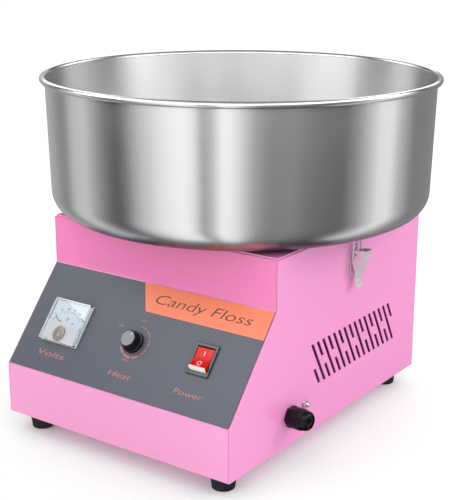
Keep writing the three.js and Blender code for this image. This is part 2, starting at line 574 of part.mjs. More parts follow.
function addDrive() {
  add(machine, "drive_shaft", centred(rod(SHAFT_RADIUS, SHAFT_LOW_Z, HEAD_Z + 18)), zincPlate);
  const core = SLIP_RADIUS - 3;
  const drum = turned([
    [SHAFT_BORE, DRUM_Z], [core, DRUM_Z], [core, DRUM_Z + 14], [SLIP_RADIUS + 1.5, DRUM_Z + 15],
    [SLIP_RADIUS + 1.5, DRUM_Z + 19], [core, DRUM_Z + 20], [core, DRUM_Z + DRUM_HEIGHT], [SHAFT_BORE, DRUM_Z + DRUM_HEIGHT],
  ]);
  add(machine, "slip_ring_drum", centred(drum), blackNylon);
  const holder = [block([27, -9, DRUM_Z - 8.4], [45, 9, DRUM_Z + DRUM_HEIGHT])];
  for (const [place, z] of Object.entries({ lower: SLIP_LOW_Z, upper: SLIP_HIGH_Z })) {
    const middle = z + SLIP_HEIGHT / 2;
    add(machine, `slip_ring_${place}`, centred(ring(core + GAP, SLIP_RADIUS, z, z + SLIP_HEIGHT)), copper);
    const brush = block([SLIP_RADIUS + GAP, -3, middle - 2.4], [38, 3, middle + 2.4]);
    add(machine, `carbon_brush_${place}`, centred(brush), carbon);
    holder.push(block([0, -3 - GAP, middle - 2.4 - GAP], [BIG, 3 + GAP, middle + 2.4 + GAP]));
  }
  add(machine, "brush_holder", centred(cut(...holder)), blackNylon);

  const hub = ring(SHAFT_BORE, 10, SHAFT_LOW_Z + 2, SHAFT_LOW_Z + 14);
  const blades = [0, 60, 120, 180, 240, 300].map((degrees) =>
    block([9, -9, -0.8], [37, 9, 0.8]).rotateX(THREE.MathUtils.degToRad(32))
      .translate(0, 0, SHAFT_LOW_Z + 8).rotateZ(THREE.MathUtils.degToRad(degrees)));
  add(machine, "cooling_fan", centred(cut(join(hub, ...blades), rod(SHAFT_BORE, 0, BIG))), blackNylon);
}

// ---------------------------------------------------------------- spinning head
const HEAD_Z = BOWL_FLOOR_Z + SHEET + 12; // underside of the head's dish
const HEAD_RADIUS = 80;
const BAND_RADIUS = 76.8;
const BAND_WINDOWS = 24;
const SUGAR_RADIUS = 24;

function addHead() {
  const at = (geometry) => geometry.translate(0, AXIS_Y, HEAD_Z);
  const lip = HEAD_RADIUS - SHEET;
  add(machine, "head_dish", at(turned([
    [SHAFT_BORE, -8], [13, -8], [13, 0], [HEAD_RADIUS, 0], [HEAD_RADIUS, 7], [lip, 7], [lip, 3], [13, 3],
    [13, 8], [SHAFT_BORE, 8],
  ])), castAluminium);
  add(machine, "head_nut", at(cut(hexagon(19, 8.4, 16), rod(SHAFT_BORE, 0, BIG))), zincPlate);
  add(machine, "heater_ring", at(ring(66, 69, 8, 34)), heaterAlloy);
  const windows = Array.from({ length: BAND_WINDOWS / 2 }, (_, i) =>
    block([-BIG / 2, -2.6, 8], [BIG / 2, 2.6, 33]).rotateZ((i * 2 * Math.PI) / BAND_WINDOWS));
  const band = ring(BAND_RADIUS - SHEET, BAND_RADIUS, 3.4, 38.6, BAND_WINDOWS);
  add(machine, "perforated_band", at(cut(band, ...windows)), stainless);
  const cover = turned([
    [SUGAR_RADIUS, 39], [lip, 39], [lip, 33], [HEAD_RADIUS, 33], [HEAD_RADIUS, 41], [SUGAR_RADIUS + 2, 41],
    [SUGAR_RADIUS + 2, 50], [SUGAR_RADIUS, 50],
  ]);
  const posts = [30, 150, 270].map((degrees) => rod(3, 3.4, 39.5, 10).translate(50, 0, 0)
    .rotateZ(THREE.MathUtils.degToRad(degrees)));
  add(machine, "head_cover", at(join(cover, ...posts)), castAluminium);
}

// ---------------------------------------------------------------- power electronics
const INSIDE_FLOOR_Z = BASE_Z + SHEET + GAP;

function addElectronics() {
  const boardZ = INSIDE_FLOOR_Z + 8;
  const legs = [[-122, 44], [-66, 44], [-122, 116], [-66, 116]]
    .map(([x, y]) => rod(2.5, INSIDE_FLOOR_Z, boardZ + 1, 8).translate(x, y, 0));
  const board = join(
    block([-128, 38, boardZ], [-60, 122, boardZ + 1.6]), ...legs,
    block([-122, 80, boardZ + 1], [-100, 116, boardZ + 24]),
    rod(11, boardZ + 1, boardZ + 14, SIDES_SMALL).translate(-78, 60, 0),
  );
  add(machine, "heat_control_board", board, boardGreen);
  const slots = [0, 1, 2, 3].map((i) =>
    block([67 + i * 12, -154, INSIDE_FLOOR_Z + 8], [73 + i * 12, -122, INSIDE_FLOOR_Z + 14]));
  const terminals = cut(block([62, -150, INSIDE_FLOOR_Z], [114, -128, INSIDE_FLOOR_Z + 20]), ...slots);
  add(machine, "terminal_block", terminals, whiteSilicone);
}

addSidePanels();
addFrontCasing();
addRearPanel();
addDeckAndBase();
addFeet();
addOverlay();
addMeter();
addHeatControl();
addSwitch();
addGland();
addEarthTerminal();
addLatch("right", 0);
addLatch("left", Math.PI);
addBowl();
addMotor();
addDrive();
addHead();
addElectronics();

export default machine;
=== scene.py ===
"""A table-top cotton candy machine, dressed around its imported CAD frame.

A pink powder-coated housing with a sloped control panel carries a lift-off stainless bowl, held by two toggle
latches, with the heated spinning head in its middle. Units are metres; the front faces -Y.
"""

import json
import logging
import math
from collections.abc import Callable
from dataclasses import dataclass
from enum import Enum

import bmesh
import bpy
from mathutils import Matrix, Vector

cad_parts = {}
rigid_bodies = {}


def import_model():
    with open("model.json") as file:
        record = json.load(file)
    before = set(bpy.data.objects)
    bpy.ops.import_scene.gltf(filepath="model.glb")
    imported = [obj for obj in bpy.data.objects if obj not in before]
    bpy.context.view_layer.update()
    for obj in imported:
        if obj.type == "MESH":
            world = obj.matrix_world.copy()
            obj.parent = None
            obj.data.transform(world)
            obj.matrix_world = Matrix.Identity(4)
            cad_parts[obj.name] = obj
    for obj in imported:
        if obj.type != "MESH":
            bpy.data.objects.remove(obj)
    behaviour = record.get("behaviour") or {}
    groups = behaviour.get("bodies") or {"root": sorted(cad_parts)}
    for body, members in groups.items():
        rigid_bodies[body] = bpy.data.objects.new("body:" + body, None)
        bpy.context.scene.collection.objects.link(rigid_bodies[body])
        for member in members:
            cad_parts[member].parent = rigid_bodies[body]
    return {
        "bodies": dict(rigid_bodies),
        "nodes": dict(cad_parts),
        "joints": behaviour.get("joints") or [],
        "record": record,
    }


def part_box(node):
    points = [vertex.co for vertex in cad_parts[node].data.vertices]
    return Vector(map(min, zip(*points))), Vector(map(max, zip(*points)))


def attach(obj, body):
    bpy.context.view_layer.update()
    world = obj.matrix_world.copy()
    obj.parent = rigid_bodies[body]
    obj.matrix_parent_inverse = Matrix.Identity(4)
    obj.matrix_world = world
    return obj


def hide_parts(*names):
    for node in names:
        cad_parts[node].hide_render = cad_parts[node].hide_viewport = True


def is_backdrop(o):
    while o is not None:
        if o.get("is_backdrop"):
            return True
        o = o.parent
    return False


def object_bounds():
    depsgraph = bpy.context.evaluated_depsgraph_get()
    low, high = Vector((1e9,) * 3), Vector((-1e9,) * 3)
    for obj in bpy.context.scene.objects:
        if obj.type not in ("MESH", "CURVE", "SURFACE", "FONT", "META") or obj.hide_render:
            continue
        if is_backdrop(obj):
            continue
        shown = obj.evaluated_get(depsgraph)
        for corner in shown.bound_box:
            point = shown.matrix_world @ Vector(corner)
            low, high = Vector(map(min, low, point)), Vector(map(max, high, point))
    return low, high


log = logging.getLogger("candy_floss_machine")
MM = 0.001
MERGE = 0.01 * MM  # points nearer than this are one point
CAPITAL = 0.72  # a capital's height as a share of the font's size
USUAL_NOISE = (0.25, 0.75)  # most of a noise's values lie between these
WHITE = (1, 1, 1, 1)


# ---------------------------------------------------------------------------------------------- node helpers
def srgb(hex_code: str) -> tuple[float, float, float, float]:
    """Turns a colour such as "#F58CC6" into Blender's linear values.

    Args:
        hex_code: The sRGB colour as seven characters.

    Returns:
        Linear red, green and blue, with an alpha of 1.
    """
    def linear(value: float) -> float:
        """One channel, from sRGB to linear."""
        return value / 12.92 if value <= 0.04045 else ((value + 0.055) / 1.055) ** 2.4

    return (*(linear(int(hex_code[i:i + 2], 16) / 255) for i in (1, 3, 5)), 1.0)


def add_node(tree: bpy.types.NodeTree, kind: str, settings: dict | None = None, **inputs) -> bpy.types.Node:
    """Adds one shader node with its settings, input values and links.

    Args:
        tree: The node tree it goes into.
        kind: The node's type name after "ShaderNode".
        settings: Properties of the node itself.
        inputs: Input sockets by name, with _ for a space; an output socket is linked, a value is set.

    Returns:
        The new node.
    """
    node = tree.nodes.new("ShaderNode" + kind)
    for name, value in (settings or {}).items():
        setattr(node, name, value)
    for name, value in inputs.items():
        socket = node.inputs[int(name[1:]) if name[1:].isdigit() else name.replace("_", " ")]
        if isinstance(value, bpy.types.NodeSocket):
            tree.links.new(value, socket)
        else:
            socket.default_value = value
    return node


def noise(tree: bpy.types.NodeTree, size: float, stretch: tuple[float, float, float] = (1, 1, 1),
          detail: float = 2.0) -> bpy.types.NodeSocket:
    """A noise on the piece's own coordinates.

    Args:
        tree: The material's node tree.
        size: The size of a blotch, in metres.
        stretch: How many times longer a blotch is along X, Y and Z.
        detail: The noise's octaves.

    Returns:
        The noise's value socket.
    """
    place = add_node(tree, "TexCoord").outputs["Object"]
    scale = tuple(1 / s for s in stretch)
    mapped = add_node(tree, "Mapping", Vector=place, Scale=scale).outputs["Vector"]
    return add_node(tree, "TexNoise", Vector=mapped, Scale=1 / size, Detail=detail).outputs["Fac"]


def spread(tree: bpy.types.NodeTree, value: bpy.types.NodeSocket, low: float,
           high: float) -> bpy.types.NodeSocket:
    """Maps a noise's usual values to the range from low to high, and its rare ones a little beyond it."""
    ends = {"_1": USUAL_NOISE[0], "_2": USUAL_NOISE[1], "_3": low, "_4": high}
    return add_node(tree, "MapRange", {"clamp": False}, Value=value, **ends).outputs["Result"]


def bump(tree: bpy.types.NodeTree, height: bpy.types.NodeSocket, depth: float,
         strength: float = 1.0) -> bpy.types.NodeSocket:
    """A bump of the given depth in metres, as a normal socket."""
    return add_node(tree, "Bump", Height=height, Distance=depth, Strength=strength).outputs["Normal"]


def height_share(tree: bpy.types.NodeTree, span: tuple[float, float],
                 ramp: str = "LINEAR") -> bpy.types.NodeSocket:
    """How far up a span of heights a point lies.

    Args:
        tree: The material's node tree.
        span: The lowest and the highest height.
        ramp: How the share grows between them.

    Returns:
        The share's socket, from 0 to 1.
    """
    place = add_node(tree, "TexCoord").outputs["Object"]
    height = add_node(tree, "SeparateXYZ", Vector=place).outputs["Z"]
    share = add_node(tree, "MapRange", {"interpolation_type": ramp}, Value=height, _1=span[0], _2=span[1])
    return share.outputs["Result"]


def blend_colour(tree: bpy.types.NodeTree, shader: bpy.types.Node, share: bpy.types.NodeSocket,
                 first: tuple | bpy.types.NodeSocket, second: tuple | bpy.types.NodeSocket) -> None:
    """Makes a shader's base colour a blend of two colours.

    Args:
        tree: The material's node tree.
        shader: Its Principled BSDF.
        share: How much there is of the second colour.
        first: The first colour, or the socket that gives it.
        second: The second colour, or the socket that gives it.
    """
    mix = add_node(tree, "Mix", {"data_type": "RGBA"}, _0=share, _6=first, _7=second)
    tree.links.new(mix.outputs[2], shader.inputs["Base Color"])


def glowing(name: str, strength: float) -> tuple[bpy.types.Material, bpy.types.Node]:
    """A material that does nothing but glow.

    Args:
        name: The material's name.
        strength: How brightly it glows.

    Returns:
        The material, and its emission node.
    """
    made = bpy.data.materials.new(name)
    made.use_nodes = True
    tree = made.node_tree
    tree.nodes.remove(tree.nodes["Principled BSDF"])
    glow = add_node(tree, "Emission", Strength=strength)
    tree.links.new(glow.outputs[0], tree.nodes["Material Output"].inputs["Surface"])
    return made, glow


# ---------------------------------------------------------------------------------------------- finishes
@dataclass(frozen=True)
class Finish:
    """What every surface has: a name, a base colour, and the plain values of its shader."""

    name: str
    colour: str
    roughness: float = 0.5
    metallic: float = 0.0
    ior: float = 1.5

    def material(self) -> bpy.types.Material:
        """Returns this finish's material, which is made the first time it is asked for."""
        made = bpy.data.materials.get(self.name)
        if made:
            return made
        made = bpy.data.materials.new(self.name)
        made.use_nodes = True
        tree = made.node_tree
        shader = tree.nodes["Principled BSDF"]
        shader.inputs["Base Color"].default_value = srgb(self.colour)
        shader.inputs["Roughness"].default_value = self.roughness
        shader.inputs["Metallic"].default_value = self.metallic
        if not self.metallic:
            shader.inputs["IOR"].default_value = self.ior
        self.detail(tree, shader)
        return made

    def detail(self, tree: bpy.types.NodeTree, shader: bpy.types.Node) -> None:
        """Adds the surface's own texture to its shader.

        Args:
            tree: The material's node tree.
            shader: Its Principled BSDF.
        """

    def tinted(self, tree: bpy.types.NodeTree, shader: bpy.types.Node, value: bpy.types.NodeSocket,
               amount: float) -> None:
        """Varies the base colour's brightness by the given share, as a noise says."""
        dark = tuple(c * (1 - amount) for c in srgb(self.colour)[:3]) + (1.0,)
        blend_colour(tree, shader, value, dark, srgb(self.colour))


@dataclass(frozen=True)
class PowderCoat(Finish):
    """Polyester powder coat, sprayed and baked: an even gloss that is never quite flat, like orange peel."""

    peel_size: float = 2.2 * MM
    peel_depth: float = 0.012 * MM
    gloss_patch: float = 90 * MM
    colour_patch: float = 60 * MM
    clear_coat: float = 0.25
    clear_roughness: float = 0.12

    def detail(self, tree: bpy.types.NodeTree, shader: bpy.types.Node) -> None:
        """Orange peel, and a slight unevenness of the gloss."""
        peel = noise(tree, self.peel_size, detail=1)
        tree.links.new(bump(tree, peel, self.peel_depth), shader.inputs["Normal"])
        gloss = spread(tree, noise(tree, self.gloss_patch), self.roughness - 0.03, self.roughness + 0.04)
        tree.links.new(gloss, shader.inputs["Roughness"])
        self.tinted(tree, shader, noise(tree, self.colour_patch), 0.03)
        shader.inputs["Coat Weight"].default_value = self.clear_coat
        shader.inputs["Coat Roughness"].default_value = self.clear_roughness


@dataclass(frozen=True)
class DeepeningCoat(PowderCoat):
    """The same coat on an upright panel, with a painted shade: deeper in colour towards its top, where the bowl
    above shades it.
    """

    # the painted shade's colour at the top of the span
    top_colour: str = "#EE7DB6"
    span: tuple[float, float] = (150 * MM, 212 * MM)

    def detail(self, tree: bpy.types.NodeTree, shader: bpy.types.Node) -> None:
        """The powder coat, with a painted shade graded by height."""
        super().detail(tree, shader)
        usual = shader.inputs["Base Color"].links[0].from_socket
        # painted shade: the colour deepens towards the top of the span, as the bowl's shade would darken it
        blend_colour(tree, shader, height_share(tree, self.span), usual, srgb(self.top_colour))


@dataclass(frozen=True)
class SpunStainless(Finish):
    """Stainless sheet, spun and satin polished: fine lines run round it, so highlights spread up and down."""

    line_size: float = 0.9 * MM  # real polishing lines are finer, and wouldn't show
    line_depth: float = 0.0013 * MM
    line_stretch: tuple[float, float, float] = (160, 160, 1)
    cloud_size: float = 70 * MM
    anisotropy: float = 0.9
    dulled: tuple[float, float] | None = None  # painted shade and dark reflection at the foot: full below the first height, none above the second
    dulled_colour: str = "#6E6A6C"

    def detail(self, tree: bpy.types.NodeTree, shader: bpy.types.Node) -> None:
        """Level polishing lines in the gloss and the surface, a faint cloudiness, and where asked a painted shade
        at the foot.
        """
        lines = noise(tree, self.line_size, stretch=self.line_stretch, detail=2)
        cloud = noise(tree, self.cloud_size, stretch=(1, 1, 2))
        rough = spread(tree, lines, self.roughness - 0.015, self.roughness + 0.015)
        soft = spread(tree, cloud, -0.02, 0.02)
        total = add_node(tree, "Math", {"operation": "ADD"}, _0=rough, _1=soft).outputs[0]
        tree.links.new(total, shader.inputs["Roughness"])
        tree.links.new(bump(tree, lines, self.line_depth), shader.inputs["Normal"])
        self.tinted(tree, shader, lines, 0.05)
        # painted shade and dark reflection: the colour darkens towards the bowl's foot corner
        if self.dulled:
            usual = shader.inputs["Base Color"].links[0].from_socket
            share = height_share(tree, self.dulled, "SMOOTHSTEP")
            blend_colour(tree, shader, share, srgb(self.dulled_colour), usual)
        shader.inputs["Anisotropic"].default_value = self.anisotropy
        shader.inputs["Anisotropic Rotation"].default_value = 0.25
        tangent = add_node(tree, "Tangent", {"direction_type": "RADIAL", "axis": "Z"}).outputs[0]
        tree.links.new(tangent, shader.inputs["Tangent"])


@dataclass(frozen=True)
class WorkedMetal(Finish):
    """Plated, cast or turned metal: a fine grain in the gloss, and slightly cloudy from handling."""

    grain: float = 1.8 * MM  # drawn three times as coarse as it is, so that it shows
    depth: float = 0.009 * MM
    stretch: tuple[float, float, float] = (1, 1, 1)
    cloud_size: float = 9 * MM

    def detail(self, tree: bpy.types.NodeTree, shader: bpy.types.Node) -> None:
        """Grain in the surface, clouds in the gloss and colour."""
        grain = noise(tree, self.grain, stretch=self.stretch)
        cloud = noise(tree, self.cloud_size)
        tree.links.new(bump(tree, grain, self.depth), shader.inputs["Normal"])
        gloss = spread(tree, cloud, self.roughness * 0.75, self.roughness * 1.3)
        tree.links.new(gloss, shader.inputs["Roughness"])
        self.tinted(tree, shader, cloud, 0.12)


@dataclass(frozen=True)
class Moulded(Finish):
    """Moulded plastic or rubber: a fine spark-eroded grain, with the gloss varying a little."""

    grain: float = 1.6 * MM  # drawn three times as coarse as it is, so that it shows
    depth: float = 0.02 * MM
    cloud_size: float = 12 * MM
    cloudiness: float = 0.06

    def detail(self, tree: bpy.types.NodeTree, shader: bpy.types.Node) -> None:
        """Grain in the surface and clouds in the gloss."""
        grain = noise(tree, self.grain, detail=1)
        cloud = noise(tree, self.cloud_size)
        tree.links.new(bump(tree, grain, self.depth), shader.inputs["Normal"])
        gloss = spread(tree, cloud, self.roughness - 0.05, self.roughness + 0.05)
        tree.links.new(gloss, shader.inputs["Roughness"])
        self.tinted(tree, shader, cloud, self.cloudiness)


@dataclass(frozen=True)
class PrintedFilm(Finish):
    """Polyester overlay film, printed on the back: a satin face with a fine velvet texture and speckled ink."""

    speckle: float = 1.6 * MM
    velvet: float = 0.7 * MM
    velvet_depth: float = 0.01 * MM

    def detail(self, tree: bpy.types.NodeTree, shader: bpy.types.Node) -> None:
        """Speckle drawn down the slope, and a velvet texture."""
        speckle = noise(tree, self.speckle, stretch=(1, 3, 3), detail=3)
        velvet = noise(tree, self.velvet, detail=1)
        self.tinted(tree, shader, speckle, 0.24)
        tree.links.new(bump(tree, velvet, self.velvet_depth), shader.inputs["Normal"])
        gloss = spread(tree, speckle, self.roughness - 0.04, self.roughness + 0.04)
        tree.links.new(gloss, shader.inputs["Roughness"])


@dataclass(frozen=True)
class Clear(Finish):
    """Clear or frosted acrylic, moulded: light goes through, and the edges catch it."""

    transmission: float = 1.0
    frost: float = 0.0
    grain: float = 1.6 * MM
    clear_depth: float = 0.003 * MM
    frost_depth: float = 0.04 * MM
    cloud_size: float = 8 * MM

    def detail(self, tree: bpy.types.NodeTree, shader: bpy.types.Node) -> None:
        """Transmission, with a frosted grain where it is asked for."""
        shader.inputs["Transmission Weight"].default_value = self.transmission
        grain = noise(tree, self.grain, detail=1)
        depth = self.clear_depth + self.frost * self.frost_depth
        tree.links.new(bump(tree, grain, depth), shader.inputs["Normal"])
        gloss = spread(tree, noise(tree, self.cloud_size), self.roughness * 0.7, self.roughness * 1.3)
        tree.links.new(gloss, shader.inputs["Roughness"])


PINK = PowderCoat("pink_powder_coat", "#EB90C7", roughness=0.3)
# the front casing's coat carries a painted shade towards the top of its upper fascia
FRONT_PINK_WITH_PAINTED_SHADE = DeepeningCoat("front_powder_coat_painted_shade", "#F09CCB", roughness=0.3)
# the bowl's outside has a painted shade and dark reflection round its foot corner
STAINLESS = SpunStainless("spun_stainless", "#CFCFD0", roughness=0.24, metallic=1.0,
                          dulled=(272 * MM, 286 * MM))
BOWL_INSIDE = SpunStainless("brushed_stainless", "#D2D2D2", roughness=0.34, metallic=1.0, anisotropy=1.0)
SHEET_STAINLESS = WorkedMetal("sheet_stainless", "#BFBFC1", roughness=0.28, metallic=1.0)
PLATE = WorkedMetal("nickel_plate", "#DAD8D6", roughness=0.16, metallic=1.0)
BRIGHT = WorkedMetal("bright_nickel", "#E4E2DF", roughness=0.12, metallic=1.0)
ZINC = WorkedMetal("bright_zinc", "#F2F0F2", roughness=0.33, metallic=0.7)
CAST = WorkedMetal("spun_aluminium", "#C3C4C6", roughness=0.32, metallic=1.0, stretch=(6, 6, 1))
COPPER = WorkedMetal("turned_copper", "#C98A5E", roughness=0.25, metallic=1.0)
HEATER = WorkedMetal("oxidised_heater_alloy", "#6F655F", roughness=0.5, metallic=0.8)
ENAMEL = Moulded("motor_enamel", "#33363B", roughness=0.35)
FILM = PrintedFilm("grey_overlay_film", "#5A5E6A", roughness=0.42, ior=1.4)
ORANGE_INK = PrintedFilm("orange_ink", "#FF8358", roughness=0.42)
SALMON_INK = Moulded("salmon_ink", "#C9745E", roughness=0.5, depth=0.0)
BROWN_INK = Moulded("dark_brown_ink", "#4A241C", roughness=0.5, depth=0.0)
NEEDLE_RED = Moulded("painted_needle", "#96606A", roughness=0.45)
DARK_INK = Moulded("dark_scale_ink", "#3A4048", roughness=0.5, depth=0.0)
WHITE_INK = Moulded("white_ink", "#F4F1EE", roughness=0.45, depth=0.0)
CARD = Moulded("white_dial_card", "#DCEAF4", roughness=0.6, depth=0.004 * MM, cloudiness=0.02)
NYLON = Moulded("black_nylon", "#17181B", roughness=0.4)
GLOSS_BLACK = Moulded("gloss_black_nylon", "#060609", roughness=0.3, ior=1.33)
SATIN_BLACK = Moulded("satin_black_abs", "#0D0E11", roughness=0.36, ior=1.36)
GREY_CAP = Moulded("grey_knob_cap", "#7E848A", roughness=0.38)
RUBBER = Moulded("black_rubber", "#141416", roughness=0.75, grain=2 * MM, depth=0.04 * MM)
PALE_FLANGE = Moulded("pale_grey_flange", "#D9DEE4", roughness=0.5)
SILICONE = Moulded("white_silicone", "#DDDAD3", roughness=0.6)
BEZEL = Moulded("gloss_black_bezel", "#2A2D34", roughness=0.22)
RED = Clear("red_polycarbonate", "#E00806", roughness=0.28, ior=1.32, transmission=0.1)
ACRYLIC = Clear("clear_acrylic", "#FBFDFE", roughness=0.03, ior=1.49)
FROSTED = Clear("frosted_acrylic", "#F3F1F3", roughness=0.4, ior=1.49, transmission=0.55, frost=1.0)
SMOKED = Clear("smoked_acrylic", "#A0938C", roughness=0.15, ior=1.49, transmission=0.3)
CARBON = Moulded("pressed_carbon", "#2B2B2D", roughness=0.6)
BOARD = Moulded("green_solder_mask", "#2C6B45", roughness=0.35)
CERAMIC = Moulded("cream_moulding", "#E4DFD2", roughness=0.4)


class Side(Enum):
    """The side of the machine that a latch is on, seen from the front."""

    LEFT = "left"
    RIGHT = "right"


# ---------------------------------------------------------------------------------------------- mesh helpers
def deselect() -> None:
    """Leaves object mode with nothing selected."""
    if bpy.context.mode != "OBJECT":
        bpy.ops.object.mode_set(mode="OBJECT")
    bpy.ops.object.select_all(action="DESELECT")


def activate(piece: bpy.types.Object) -> None:
    """Makes one piece the only selected and active one."""
    deselect()
    piece.select_set(True)
    bpy.context.view_layer.objects.active = piece


def named(name: str) -> bpy.types.Object:
    """Takes the operator's new object, names it, and puts its place into its mesh."""
    piece = bpy.context.active_object
    piece.name = piece.data.name = name
    activate(piece)
    bpy.ops.object.transform_apply(location=True, rotation=True, scale=True)
    return piece


def apply_modifier(piece: bpy.types.Object, kind: str, **settings) -> None:
    """Adds a modifier with its settings and applies it."""
    modifier = piece.modifiers.new(kind.lower(), kind)
    for name, value in settings.items():
        setattr(modifier, name, value)
    activate(piece)
    bpy.ops.object.modifier_apply(modifier=modifier.name)


def round_edges(piece: bpy.types.Object, width: float, segments: int = 3, angle: float = 25) -> None:
    """Rounds every edge sharper than an angle in degrees."""
    apply_modifier(piece, "BEVEL", width=width, segments=segments, limit_method="ANGLE",
                   angle_limit=math.radians(angle), use_clamp_overlap=True, harden_normals=False)


def smooth(piece: bpy.types.Object, angle: float = 35) -> None:
    """Shades smooth, keeping edges sharper than an angle in degrees and flat faces flat."""
    activate(piece)
    bpy.ops.object.shade_smooth_by_angle(angle=math.radians(angle))
    apply_modifier(piece, "WEIGHTED_NORMAL", keep_sharp=True, weight=50, mode="FACE_AREA")


def spun(name: str, outline: list[tuple[float, float]], steps: int = 96, closed: bool = True,
         start: float = 0, turn: float = 360) -> bpy.types.Object:
    """A piece turned about Z by the spin operator.

    Args:
        name: The piece's name.
        outline: Its (radius, height) points. A closed outline doesn't touch the axis; an open one may.
        steps: How many steps the turn has.
        closed: Whether the last point joins the first.
        start: The angle it starts at, in degrees.
        turn: The angle it is turned through; less than a full turn is closed at its ends.

    Returns:
        The turned piece.
    """
    deselect()
    bpy.ops.mesh.primitive_circle_add(vertices=3, radius=MM)
    piece = named(name)
    count = len(outline)
    edges = [(i, (i + 1) % count) for i in range(count if closed else count - 1)]
    piece.data.clear_geometry()
    caps = [list(range(count))] if turn < 360 else []
    way = Vector((math.cos(math.radians(start)), math.sin(math.radians(start))))
    piece.data.from_pydata([(r * way.x, r * way.y, z) for r, z in outline], edges, caps)
    bpy.ops.object.mode_set(mode="EDIT")
    bpy.ops.mesh.select_all(action="SELECT")
    bpy.ops.mesh.spin(steps=steps, angle=math.radians(turn), center=(0, 0, 0), axis=(0, 0, 1))
    bpy.ops.mesh.select_all(action="SELECT")
    bpy.ops.mesh.remove_doubles(threshold=MERGE)
    bpy.ops.mesh.normals_make_consistent(inside=False)
    bpy.ops.object.mode_set(mode="OBJECT")
    return piece


def block(name: str, low: tuple[float, float, float], high: tuple[float, float, float]) -> bpy.types.Object:
    """A cube primitive stretched between two corners."""
    deselect()
    middle = tuple((a + b) / 2 for a, b in zip(low, high))
    bpy.ops.mesh.primitive_cube_add(size=1, location=middle, scale=tuple(b - a for a, b in zip(low, high)))
    return named(name)


def post(name: str, radius: float, low: float, high: float, place: tuple[float, float] = (0, 0),
         sides: int = 32) -> bpy.types.Object:
    """A cylinder primitive along Z."""
    deselect()
    bpy.ops.mesh.primitive_cylinder_add(vertices=sides, radius=radius, depth=high - low,
                                        location=(*place, (low + high) / 2))
    return named(name)


def together(name: str, parts: list[bpy.types.Object]) -> bpy.types.Object:
    """Joins pieces into one object."""
    activate(parts[0])
    for part in parts[1:]:
        part.select_set(True)
    bpy.ops.object.join()
    return named(name)


def carve(piece: bpy.types.Object, tool: bpy.types.Object) -> None:
    """Cuts a tool's shape out of a piece and deletes the tool."""
    apply_modifier(piece, "BOOLEAN", object=tool, operation="DIFFERENCE", solver="EXACT")
    bpy.data.objects.remove(tool)


def moved(piece: bpy.types.Object, matrix: Matrix) -> bpy.types.Object:
    """Puts a piece's mesh in its place."""
    piece.data.transform(matrix)
    piece.data.update()
    return piece


def reshape(piece: bpy.types.Object, scale: Callable[[float, float, float], float]) -> None:
    """Scales a turned piece's points outwards or inwards, as flutes and ribs need.

    Args:
        piece: The piece, still standing on the axis.
        scale: Gives a point's scale from its radius, its angle in radians and its height.
    """
    for vertex in piece.data.vertices:
        at = vertex.co
        by = scale(math.hypot(at.x, at.y), math.atan2(at.y, at.x), at.z)
        at.x, at.y = at.x * by, at.y * by


def lettering(name: str, words: str, height: float, place: tuple[float, float], slant: float = 0.0,
              width: float | None = None, thickness: float = 0.04 * MM, level: float = 0.0,
              weight: float = 0.0) -> bpy.types.Object:
    """Flat generic lettering as a mesh, centred on a place in the XY plane.

    Args:
        name: The piece's name.
        words: What it says.
        height: The height of a capital, in metres.
        place: Its middle in X and Y.
        slant: The shear of italic letters.
        width: The width of the whole text, if it is to be stretched to one.
        thickness: The ink's thickness.
        level: The height of the ink's underside.
        weight: How much the strokes are thickened.

    Returns:
        The lettering.
    """
    deselect()
    bpy.ops.object.text_add()
    text = bpy.context.active_object
    text.data.body = words
    text.data.size = height / CAPITAL
    text.data.align_x = "CENTER"
    text.data.align_y = "CENTER"
    text.data.shear = slant
    text.data.extrude = thickness / 2
    text.data.offset = weight
    text.data.resolution_u = 4
    bpy.ops.object.convert(target="MESH")
    piece = named(name)
    xs = [v.co.x for v in piece.data.vertices]
    stretch = width / (max(xs) - min(xs)) if width else 1.0
    shift = Matrix.Translation((*place, level + thickness / 2))
    return moved(piece, shift @ Matrix.Diagonal((stretch, 1, 1, 1)))


